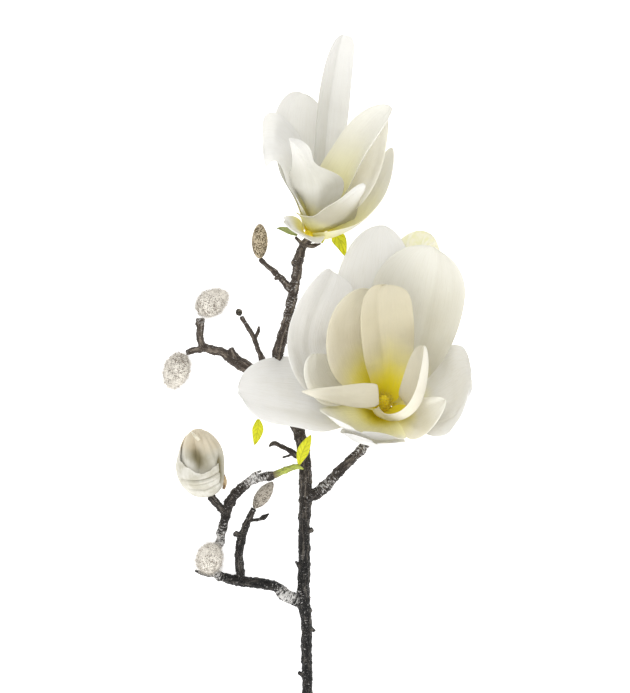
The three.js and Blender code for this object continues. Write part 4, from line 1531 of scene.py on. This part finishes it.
class Wood:
    """The woody branch: its stem, twigs, spurs and scars, grown together."""

    MAIN_STEM = (
        (-7, -229, 3.4, 3.4), (-6.5, -209, 4, 3.2), (-7, -183, 5, 3.2), (-7, -163, 6, 3.4),
        (-9, -147, 7, 3.9), (-8.5, -124, 8, 3.6), (-8.5, -100, 9, 3.5), (-7.5, -77, 10, 4),
        (-8.5, -52, 11, 3.7), (-12, -35, 11.5, 3.6), (-20, -14, 11.5, 3.6), (-26.5, 6, 11.5, 3.7),
        (-26, 18, 12, 3.5), (-20.5, 37, 13, 3), (-17, 53, 14, 3), (-13.5, 70, 16, 2.8),
        (-12.5, 79, 17.5, 2.9), (-8.5, 90, 20, 2.5), (-4.6, 93.4, 21.4, 2.3),
    )
    LEFT_TWIG = (
        (-9, -150, 7, 3.3), (-21, -145.5, 6.5, 4.1), (-27, -140, 6, 3.3), (-39, -137.5, 5.5, 3.2),
        (-51, -136, 5, 3.1), (-61, -134, 4.5, 2.9), (-68, -131, 4, 2.9), (-69, -120, 3, 2.5),
        (-65.5, -110, 4.5, 2.7), (-63.5, -102, 7, 2.7), (-61.5, -93, 10, 2.8), (-58, -82, 13, 3),
        (-51, -73.5, 16, 2.9), (-44, -68, 18, 2.8), (-36, -65.5, 20, 2.6), (-29, -64, 21, 2.6),
    )
    SLIM_BUD_TWIG = (
        (-51, -135, 5, 2.7), (-52, -126, 6, 2.5), (-52, -114, 8, 2.4), (-50, -105, 10, 2.4),
        (-47, -97, 12, 2.1), (-42.5, -87, 14.5, 1.8),
    )
    OPENING_BUD_TWIG = ((-61, -90, 11, 2.4), (-66, -84.5, 13, 2.2), (-71.2, -78.6, 15.8, 2.3))
    LARGE_BLOOM_TWIG = (
        (-7, -80, 10, 3), (3, -74.5, 11, 3.6), (11.5, -65.5, 12.5, 3.3), (20, -57, 14, 2.8),
        (29, -48, 14.5, 2.8), (37, -37, 13, 2.8), (41.6, -26.7, 12.6, 3.2),
    )
    HOOKED_TWIG = (
        (-9, -53, 11, 2.2), (-14, -51, 13, 1.8), (-19, -47.5, 15, 1.5), (-25, -44.5, 16, 1.2),
        (-28.5, -42.7, 16.5, 1.4), (-32, -45, 16.5, 0.5),
    )
    ROUND_BUD_TWIG = (
        (-25, 2, 11.5, 2.2), (-31, 6, 12, 1.9), (-36.5, 13, 12.5, 1.8), (-39.5, 20, 13, 1.3),
        (-42, 27, 13.5, 1.3), (-46, 34, 14, 1.2), (-50.6, 41.4, 14.5, 1.4),
    )
    FURRY_BUD_TWIG = (
        (-25, 2, 11.5, 3), (-38, 4.5, 11, 3.5), (-47, 7.5, 10.5, 3.8), (-55, 12.5, 10, 3.6),
        (-62, 17, 9.5, 2.7), (-70, 19.5, 9.5, 2.5), (-76, 21, 9.5, 2.4),
    )
    UPPER_FURRY_TWIG = (
        (-76.5, 20, 9.5, 2.4), (-78.3, 27, 9.5, 2.2), (-78.6, 34, 9.5, 2.2), (-78.5, 40.5, 9.5, 2.7),
    )
    LEFT_FURRY_TWIG = ((-75, 20.5, 9.5, 2.2), (-82, 19.5, 9.5, 1.8), (-87.5, 17.5, 9.5, 1.7))
    BROWN_BUD_TWIG = ((-17, 59, 15, 2.4), (-21, 64, 15.5, 1.9), (-28, 71, 16.5, 1.6), (-38, 80, 18.1, 1.4))
    HANGING_LEAF_SPUR = ((-19, -16, 11, 1.8), (-28, -21, 10, 1.3), (-38.5, -26, 9, 1))
    SPURS = (
        ((-7, -166, 6, 2), (-1.5, -169.5, 6.5, 1.1)),
        ((-7.5, -200, 4.5, 2), (-12.5, -197.5, 5, 0.9)),
        ((-9, -129, 8, 2), (-14.3, -122.5, 9, 0.7)),
        ((-8, -103, 9, 2), (-3, -101, 9.5, 1.4)),
        ((-8.5, -157, 6.5, 2), (-3.5, -155, 7, 1.5)),
        ((-12, -37, 12, 2), (-18.5, -30.5, 13, 0.6)),
        ((-19, 38, 13.5, 1.8), (-12.5, 46, 15, 0.6)),
        ((-12.8, 77, 17, 2), (-16.6, 77.5, 17.5, 1.5)),
        ((-50.5, -106, 10, 1.6), (-55, -103, 11, 1.8)),
        ((-45.5, -95, 12.5, 0.9), (-39, -94, 13.5, 0.8), (-35.5, -92.5, 14, 1.5), (-32, -90, 14.5, 0.4)),
        ((-16, -50, 13.5, 0.8), (-19.5, -51.5, 14, 0.7), (-23, -52.5, 14.5, 0.5)),
        ((-41.5, 27, 13.5, 0.9), (-39.5, 31, 14, 0.9), (-38.8, 35, 14.5, 0.6)),
        ((-54, 12, 10.5, 2.4), (-57.8, 20.3, 12.5, 1.8)),
        ((-25.5, 68, 16, 1.2), (-28.3, 66.7, 16, 0.8)),
        ((-48, -69, 17.5, 1.4), (-42, -63.5, 20.5, 1), (-37, -61, 22, 0.5)),
        ((-69, -131.5, 4, 1.6), (-76, -131, 4.5, 1.3), (-82, -129, 5.5, 0.8)),
        ((-9, 89.5, 20, 1.4), (-14.5, 94.5, 20, 0.8)),
        ((-9, 89, 20, 1.4), (-3, 88.8, 20.5, 1.2), (2.5, 90.3, 21, 0.5)),
    )
    FROSTINGS = (
        Frosting(-20, -145, 8, 1.0),
        Frosting(-68, -131, 6, 0.7),
        Frosting(-65, -108, 9, 0.75),
        Frosting(-42, -66, 10, 0.8),
        Frosting(6, -71, 10, 0.5),
        Frosting(30, -46, 9, 0.5),
        Frosting(-78.5, 41, 4, 0.7),
        Frosting(-8, -183, 50, 0.08),
        Frosting(-18, 52, 26, 0.3),
    )
    SIDES = 20
    TUBE_STEP = 1.2
    GRAIN_STEP = 0.8
    VOXEL = 0.5
    RING_SPACING = 11.0
    SHRINKAGE = 0.32
    FULL_RELIEF_RADIUS = 2.6

    @property
    def routes(self) -> list[Route]:
        """Every line of the wood."""
        twigs = [
            self.MAIN_STEM, self.LEFT_TWIG, self.SLIM_BUD_TWIG, self.OPENING_BUD_TWIG, self.LARGE_BLOOM_TWIG,
            self.HOOKED_TWIG, self.ROUND_BUD_TWIG, self.FURRY_BUD_TWIG, self.UPPER_FURRY_TWIG,
            self.LEFT_FURRY_TWIG, self.BROWN_BUD_TWIG, self.HANGING_LEAF_SPUR,
        ]
        return [Route(stops) for stops in (*twigs, *self.SPURS)]

    def grown(self) -> bpy.types.Mesh:
        """Joins the tubes into one even skin, in metres."""
        joined = bmesh.new()
        for route in self.routes:
            tube(joined, route, self.SIDES, self.TUBE_STEP)
        joined.transform(Matrix.Scale(MM, 4))
        data = bpy.data.meshes.new("wood_tubes")
        joined.to_mesh(data)
        joined.free()
        rough_wood = bpy.data.objects.new("wood_tubes", data)
        bpy.context.scene.collection.objects.link(rough_wood)
        remesh = rough_wood.modifiers.new("even", "REMESH")
        remesh.mode = "VOXEL"
        remesh.voxel_size = self.VOXEL * MM
        soften = rough_wood.modifiers.new("soften", "SMOOTH")
        soften.factor = 0.5
        soften.iterations = 5
        scene_now = bpy.context.evaluated_depsgraph_get()
        skin = bpy.data.meshes.new_from_object(rough_wood.evaluated_get(scene_now))
        bpy.data.objects.remove(rough_wood)
        bpy.data.meshes.remove(data)
        return skin

    def frosting(self, place: Vector) -> float:
        """How frosted the bark is at a place in millimetres."""
        most = 0.0
        for spot in self.FROSTINGS:
            away = math.hypot(place.x - spot.x, place.y - spot.y)
            most = max(most, spot.amount * hump(away, 0.0, spot.span))
        return most

    def swell(self, place: Vector, local: Vector, radius: float) -> float:
        """How far the bark stands out at a place: its ridges, lumps and scar rings."""
        ridges = noise.noise(Vector((local.x, local.y, 0.22 * local.z)) * 1.1)
        lumps = noise.noise(place * 0.24)
        ring_at = (local.z / self.RING_SPACING + 0.35 * lumps) % 1.0
        ring = hump(ring_at, 0.5, 0.045) + 0.6 * hump(ring_at, 0.62, 0.03)
        size = min(1.0, radius / self.FULL_RELIEF_RADIUS)
        relief = 0.5 * ridges + 0.8 * lumps + 0.6 * ring + 0.35 * noise.noise(place * 1.3)
        return size * relief + self.SHRINKAGE

    def build(self, bench: Bench, palette: Palette) -> None:
        """Builds the branch and roughens its bark along the grain."""
        skin = self.grown()
        wood = Grain([station for route in self.routes for station in route.stations(self.GRAIN_STEP)])
        grain: list[float] = []
        frost: list[float] = []
        moved = []
        for vert in skin.vertices:
            place = vert.co / MM
            station, _, (across, deep, ahead) = wood.locate(place)
            local = Vector((across, deep, station.along + ahead))
            grain.extend(local)
            frost.append(self.frosting(place))
            moved.append(vert.co + vert.normal * (self.swell(place, local, station.radius) * MM))
        for vert, place in zip(skin.vertices, moved):
            vert.co = (place.x, place.y, max(place.z, 0.0))
        skin.attributes.new("grain", "FLOAT_VECTOR", "POINT").data.foreach_set("vector", grain)
        skin.attributes.new("frost", "FLOAT", "POINT").data.foreach_set("value", frost)
        bench.adopt("woody_branch_bark", skin, (palette.bark,), ("woody_branch",))


class Shoot:
    """The green shoot at the end of the left twig."""

    STOPS = (
        (-28.5, -63.9, 21.1, 2.5), (-20, -60.2, 22.6, 2.2), (-13.5, -58.3, 22.8, 1.8), (-9, -59.8, 22.6, 0.6),
    )
    SIDES = 28
    STEP = 0.35
    NODES = ((8.5, 0.6), (14.5, 0.5))

    def build(self, bench: Bench, palette: Palette) -> None:
        """Builds the shoot with its ringed nodes."""
        route = Route(self.STOPS)
        mesh = bmesh.new()
        tube(mesh, route, self.SIDES, self.STEP)
        wood = Grain(route.stations(self.STEP))
        grain = mesh.verts.layers.float_vector.new("grain")
        for vert in mesh.verts:
            station, off, (across, deep, _) = wood.locate(vert.co)
            vert[grain] = Vector((across, deep, station.along))
            ring = sum(hump(station.along, at, span) for at, span in self.NODES)
            swell = 0.35 * ring + 0.15 * noise.noise(Vector((across, deep, 0.3 * station.along)))
            vert.co += off.normalized() * swell
        bench.finish("green_shoot_skin", mesh, (palette.shoot,), "green_shoot", ("green_shoot",))


# ---------------------------------------------------------------- leaves


@dataclass(frozen=True)
class Leaf:
    """A young leaf: the four points of its midrib and its shape."""

    path: tuple[Place, Place, Place, Place]
    shape: BladeShape
    slot: str = "leaf"

    COLUMNS = 16
    ROWS = 26
    THICKNESS = 0.6
    FOCUS_HEIGHT = 400.0
    FIRST_SEED = 3.0

    def build(self, bench: Bench, node: str, finish: bpy.types.Material, stands_for: bool = True) -> None:
        """Builds the leaf, which stands for the plain solid of its node's name unless told otherwise."""
        points = [Vector(place) for place in self.path]
        focus = (points[1] + points[2]) * 0.5 + UP * self.FOCUS_HEIGHT
        blade = Blade(points, focus, self.shape, self.FIRST_SEED + len(node))
        mesh = blade.mesh(self.COLUMNS, self.ROWS)
        nodes = (node,) if stands_for else ()
        piece = bench.finish(f"{node}_blade", mesh, (finish,), self.slot, nodes)
        thicken(piece, self.THICKNESS, faces_differ=False)


# ---------------------------------------------------------------- this branch


LARGE_TEPALS = {
    "back": Tepal(0, 95, 62, 30, (40, 60, 6), (43, 103, 13), Tone.WHITE,
                  BladeShape(25, cup=0.3, left=Half(1.3, 0.52))),
    "left": Tepal(0, 190, 72, 34, (-22, -10, 25), (-52, -6, 38), Tone.WHITE,
                  BladeShape(25, cup=0.45, roll=-4, widest=0.5, buckle=1.5,
                             left=Half(1.4, 0.42, 3.0), right=Half(1.5, 0.45, 1.8),
                             folds=(Fold(-0.2, -0.35, 0.16, 1.6),))),
    "right": Tepal(0, 345, 70, 32, (92, -18, 34), (101, 0, 58), Tone.WHITE,
                   BladeShape(28, cup=0.5, buckle=1.5, widest=0.7, tip=2.6,
                              left=Half(1.7, 0.5, 2.4), right=Half(1.12, 0.84, 5.0, 0.3),
                              folds=(Fold(0.5, 0.35, 0.14, 1.6),))),
    "front": Tepal(0, 262, 66, 32, (34, -46, 56), (38, -41, 82), Tone.WHITE,
                   BladeShape(28, cup=0.7, tip=2.6,
                              left=Half(0.75, 0.55, 1.9, 0.8), right=Half(0.85, cup=0.45))),
    "back_right": Tepal(1, 50, 56, 34, (64, 50, 14), (76, 88, 30), Tone.SHELL,
                        BladeShape(33, cup=0.5, widest=0.7, right=Half(0.96, tip=2.5),
                                   folds=(Fold(0.1, 0.3, 0.12, 1.5),))),
    "back_left": Tepal(1, 145, 62, 34, (-35, -6, 40), (9, 73, 32), Tone.WHITE,
                       BladeShape(24, cup=0.5, roll=6, left=Half(0.95, 0.4, 2.2), right=Half(1.2, 0.7, 6.0),
                                  folds=(Fold(0.0, 0.2, 0.15, 1.2),))),
    "front_left": Tepal(1, 250, 58, 30, (24, -39, 54), (28, -33.5, 78), Tone.GLOW,
                        BladeShape(32, cup=0.75, tip=3.2,
                                   left=Half(0.95, 0.55, 2.0), right=Half(0.97, cup=0.4))),
    "front_right": Tepal(1, 331, 64, 26, (66, -27, 40), (84, -13, 58), Tone.CREAM,
                         BladeShape(23, cup=0.5, roll=-45, tip=1.7, left=Half(0.5), right=Half(0.72, 0.48))),
    "inner_back": Tepal(2, 70, 25, 26, (44, 42, 59), (46, 62, 60), Tone.BEIGE,
                        BladeShape(19.5, cup=0.6, tip=3.2, shoulder=0.7, left=Half(1.06), right=Half(0.88),
                                   folds=(Fold(-0.1, -0.4, 0.12, 1.2),))),
    "inner_back_left": Tepal(2, 133, 40, 28, (12, 34, 40), (35, 59, 44), Tone.OAT,
                             BladeShape(21, cup=0.6, shoulder=0.7,
                                        left=Half(1.4, 0.45, 1.9), right=Half(1.1, 0.8, 4.0))),
    "inner_left": Tepal(2, 200, 46, 24, (-3, -13, 40), (-1, 17, 44), Tone.CREAM,
                        BladeShape(24, cup=0.5, widest=0.7, tip=3.2, shoulder=0.6,
                                   left=Half(0.78, 0.62, 2.6, 0.1), right=Half(0.8),
                                   bulges=(Bulge(-1, 0.32, 0.22, -12.0),))),
    "inner_right": Tepal(2, 300, 72, 24, (64, -24, 50), (69.5, 22.5, 54), Tone.OAT,
                         BladeShape(22, cup=0.6, tip=2.4, widest=0.6, shoulder=0.6,
                                    left=Half(0.55), right=Half(1.2, cup=2.2),
                                    bulges=(Bulge(1, 0.12, 0.12, 6.0),))),
}

LARGE_MARGIN = Turnover(
    "tepal_inner_left", ((40.5, -10, 52), (28, -11.5, 57), (8, -10, 60), (-10, -7.5, 60)), (20, -60, 400),
    BladeShape(8.5, widest=0.24, shoulder=0.5, tip=1.3, cup=-0.35, half_claw=6.6, claw_cup=-0.3,
               lip=0.0, wave=0.3),
)

SMALL_TEPALS = {
    "back": Tepal(0, 130, 30, 28, (-19, 158, 9), (-10, 192, 9), Tone.SHADED_WHITE,
                  BladeShape(19, cup=0.3, left=Half(1.25, tip=2.6), right=Half(1.3, 0.7, 2.6))),
    "outer_right": Tepal(0, 315, 62, 26, (46, 116, 26), (50, 153, 34), Tone.GLOW,
                         BladeShape(14, cup=0.6, shoulder=0.7, right=Half(1.2))),
    "outer_front": Tepal(0, 235, 66, 14, (-12, 93, 40), (-22, 103, 44), Tone.WHITE,
                         BladeShape(18.5, cup=0.3, shoulder=0.35, tip=2.3, buckle=0.5)),
    "tall": Tepal(1, 78, 20, 30, (9, 180, 9), (18, 230, 16), Tone.SHADED_WHITE,
                  BladeShape(13.5, cup=0.4, left=Half(1.7, 0.62, 2.3), right=Half(0.73, 0.75, 4.5),
                             furls=(Furl(-1, 0.48, 3.3, 0.32, 1.3, 0.12, 0.74),))),
    "left": Tepal(1, 165, 36, 26, (-10, 159, 31), (-36, 158, 33), Tone.SHADED_WHITE,
                  BladeShape(20, cup=0.3, roll=6, shoulder=0.5,
                             left=Half(1.1, 0.66, 4.0), right=Half(1.0, 0.78, 6.0))),
    "right": Tepal(1, 350, 40, 26, (36, 138, 30), (45, 176, 36), Tone.CREAM,
                   BladeShape(15, cup=0.5, shoulder=0.8, right=Half(0.95))),
    "front": Tepal(1, 272, 50, 20, (13, 110, 59), (31, 127, 63), Tone.SHELL,
                   BladeShape(15, cup=0.7, shoulder=0.45, left=Half(1.5, 0.45), right=Half(0.6, 0.4),
                              bulges=(Bulge(1, 0.12, 0.16, 8.0),), furls=(Furl(1, 0.6, -1.6),))),
    "upper_right": Tepal(2, 40, 20, 26, (22, 152, 38), (49, 179, 46), Tone.GLOW,
                         BladeShape(16, cup=0.6, shoulder=0.8, left=Half(1.1, 0.6), right=Half(0.65),
                                    bulges=(Bulge(-1, 0.4, 0.14, 3.0),), furls=(Furl(1, 0.6, 1.2),))),
    "front_left": Tepal(2, 225, 24, 24, (0, 138, 60), (-18, 157, 62), Tone.SHADED_WHITE,
                        BladeShape(18, cup=0.6, tip=1.2, widest=0.5, roll=-48, left=Half(1.2),
                                   bulges=(Bulge(-1, 0.68, 0.13, -10.0),),
                                   folds=(Fold(-0.2, -0.2, 0.2, 1.6),))),
}

LEAF_SHAPE = {"widest": 0.45, "tip": 1.35, "wave": 0.25, "lip": 0.2, "buckle": 0.4}
LEAVES = {
    "leaf_under_small_bloom": Leaf(((2.9, 90.7, 20.7), (8, 102, 15), (15, 99, 14), (18.8, 82, 12)),
                                   BladeShape(5, **{**LEAF_SHAPE, "widest": 0.7, "shoulder": 2.4})),
    "leaf_hanging": Leaf(((-39.5, -27, 8.6), (-39, -32, 9), (-40, -38, 8), (-42, -44.5, 7)),
                         BladeShape(4, **LEAF_SHAPE)),
    "leaf_shoot": Leaf(((-12, -57, 22.6), (-10.5, -49, 24), (-7, -43, 26), (-4, -37, 25)),
                       BladeShape(4.2, **LEAF_SHAPE)),
    "leaf_scale": Leaf(((-13, 96, 20), (-17, 98, 19), (-22, 101, 18), (-27, 100.5, 17)),
                       BladeShape(2.2, **LEAF_SHAPE)),
    "leaf_behind_large_bloom": Leaf(((41, -31, 9.2), (44, 20, 3), (58, 78, 4), (78, 96, 6)),
                                    BladeShape(17, **{**LEAF_SHAPE, "cup": 0.2, "widest": 0.78, "tip": 1.9}),
                                    "pale_leaf"),
}

FURRY = {"hairs": 4300, "slot": "bud_fur", "swell": 0.84, "sweep": 0.12, "hair_radius": 0.037}
BUDS = (
    Bud("furry_bud_upper", (-80, 45.2, 11), (-60, 57.5, 13), 10.0, 0.6, 0.85, hair_length=8.0, **FURRY),
    Bud("furry_bud_left", (-90, 17, 9.7), (-98.4, -6.4, 9.4), 9.9, 0.55, 0.9, hair_length=8.0, **FURRY),
    Bud("furry_bud_lower", (-75, -129.6, 14.4), (-68.6, -110.4, 18), 10.3, 0.5, 1.0,
        hair_length=7.5, **FURRY),
    Bud("slim_bud_lower", (-42.3, -86.6, 14.8), (-29.4, -68.6, 18), 5.6, 0.65, 0.95,
        1500, 3.0, "bud_fur", 0.86, 0.5, 0.04),
    Bud("slim_bud_upper", (-38.3, 80.4, 18.3), (-38, 103.5, 20), 5.6, 0.5, 0.95,
        800, 1.4, "tan_bud", 0.95, 1.2, 0.045),
    Bud("round_bud", (-51.1, 42.2, 14.7), (-53.2, 46.9, 15.4), 2.4, 0.6, 1.0, 200, 0.6, "tan_bud", 0.97),
)

LARGE_BLOOM = Flower(
    "large", (43, -22, 17), (0.12, 0.62, 0.77), 90.0,
    (Whorl(8, 0, 4), Whorl(6.4, 3.5, 4), Whorl(4.9, 7, 2.6)),
    Heart("large_bloom_heart", 3.2, 0.3, 1.3, 4.2, 10.0, 18.0, 40, 30),
)
SMALL_BLOOM = Flower(
    "small", (-3, 97, 23), (0.36, 0.85, 0.38), 70.0,
    (Whorl(6, -1, 4.2), Whorl(4.7, 2.6, 3.4), Whorl(3.5, 6, 2.4)),
    Heart("small_bloom_heart", 2.8, 0.8, 1.3, 2.4, 9.0, 20.0, 34, 28),
)


# ---------------------------------------------------------------- the studio


@dataclass(frozen=True)
class Studio:
    """The floor, the soft light and the camera that looks straight down.

    The camera's measures and the floor's gap are in millimetres, and the view's depth and the half
    side of the floor are in metres.
    """

    frame_height: int = 693
    mm_per_pixel: float = 2.0 / 3.0
    sensor: float = 36.0
    aim: tuple[float, float] = (-1.3, 21.7)
    height: float = 1750.0
    focus_height: float = 20.0
    view_depth: float = 50.0
    floor_half: float = 6.0
    floor_gap: float = 0.2

    def camera(self) -> None:
        """Hangs the camera over the branch, so that one frame pixel is two thirds of a millimetre."""
        data = bpy.data.cameras.new("camera")
        data.sensor_width = self.sensor
        covered = self.frame_height * self.mm_per_pixel
        data.lens = self.sensor * (self.height - self.focus_height) / covered
        data.clip_end = self.view_depth
        camera = bpy.data.objects.new("camera", data)
        camera.location = (self.aim[0] * MM, self.aim[1] * MM, self.height * MM)
        bpy.context.scene.collection.objects.link(camera)
        bpy.context.scene.camera = camera

    def floor(self) -> None:
        """Lays the floor just under the branch."""
        mesh = bmesh.new()
        bmesh.ops.create_grid(mesh, x_segments=1, y_segments=1, size=self.floor_half)
        mesh.transform(Matrix.Translation((0.0, 0.0, -self.floor_gap * MM)))
        data = bpy.data.meshes.new("floor")
        mesh.to_mesh(data)
        mesh.free()
        data.materials.append(FloorFinish().material("floor"))
        floor = bpy.data.objects.new("floor", data)
        bpy.context.scene.collection.objects.link(floor)

    def lamp(self, name: str, place: Place, size: float, power: float) -> None:
        """Adds a soft square lamp, in metres and watts, that looks at the branch."""
        data = bpy.data.lights.new(name, "AREA")
        data.size = size
        data.energy = power
        lamp = bpy.data.objects.new(name, data)
        lamp.location = place
        lamp.rotation_euler = (-Vector(place)).to_track_quat("-Z", "Y").to_euler()
        bpy.context.scene.collection.objects.link(lamp)

    def world(self, strength: float) -> None:
        """Surrounds the branch with an even white light."""
        world = bpy.data.worlds.new("sky")
        world.use_nodes = True
        background = world.node_tree.nodes["Background"]
        background.inputs["Color"].default_value = (1.0, 1.0, 1.0, 1.0)
        background.inputs["Strength"].default_value = strength
        bpy.context.scene.world = world

    def build(self) -> None:
        """Sets up the studio."""
        self.camera()
        self.floor()
        self.world(1.0)
        self.lamp("key", (-0.7, 0.5, 3.0), size=2.0, power=20.0)
        self.lamp("fill", (0.4, -2.1, 1.3), size=1.5, power=29.0)
        bpy.context.scene.view_settings.view_transform = "Standard"


# ---------------------------------------------------------------- making it all


def main() -> None:
    """Builds the branch and its studio."""
    logging.basicConfig(level=logging.INFO, format="%(message)s")
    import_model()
    Studio().build()
    palette = Palette()
    bench = Bench()
    Wood().build(bench, palette)
    Shoot().build(bench, palette)
    leaf_finishes = {"leaf_scale": palette.olive_leaf, "leaf_behind_large_bloom": palette.pale_leaf}
    for node, leaf in LEAVES.items():
        leaf.build(bench, node, leaf_finishes.get(node, palette.leaf))
    bud_finishes = {
        "slim_bud_lower": (palette.grey_scales, palette.white_fur),
        "slim_bud_upper": (palette.tan_scales, palette.tan_fur),
        "round_bud": (palette.dark_scales, palette.tan_fur),
    }
    for bud in BUDS:
        bud.build(bench, *bud_finishes.get(bud.node, (palette.bud_scales, palette.white_fur)))
    OpeningBud().build(bench, palette)
    LARGE_BLOOM.build(bench, palette, LARGE_TEPALS)
    LARGE_BLOOM.turn_over(bench, palette, LARGE_MARGIN)
    SMALL_BLOOM.build(bench, palette, SMALL_TEPALS)
    bpy.context.view_layer.update()


if __name__ == "__main__":
    main()
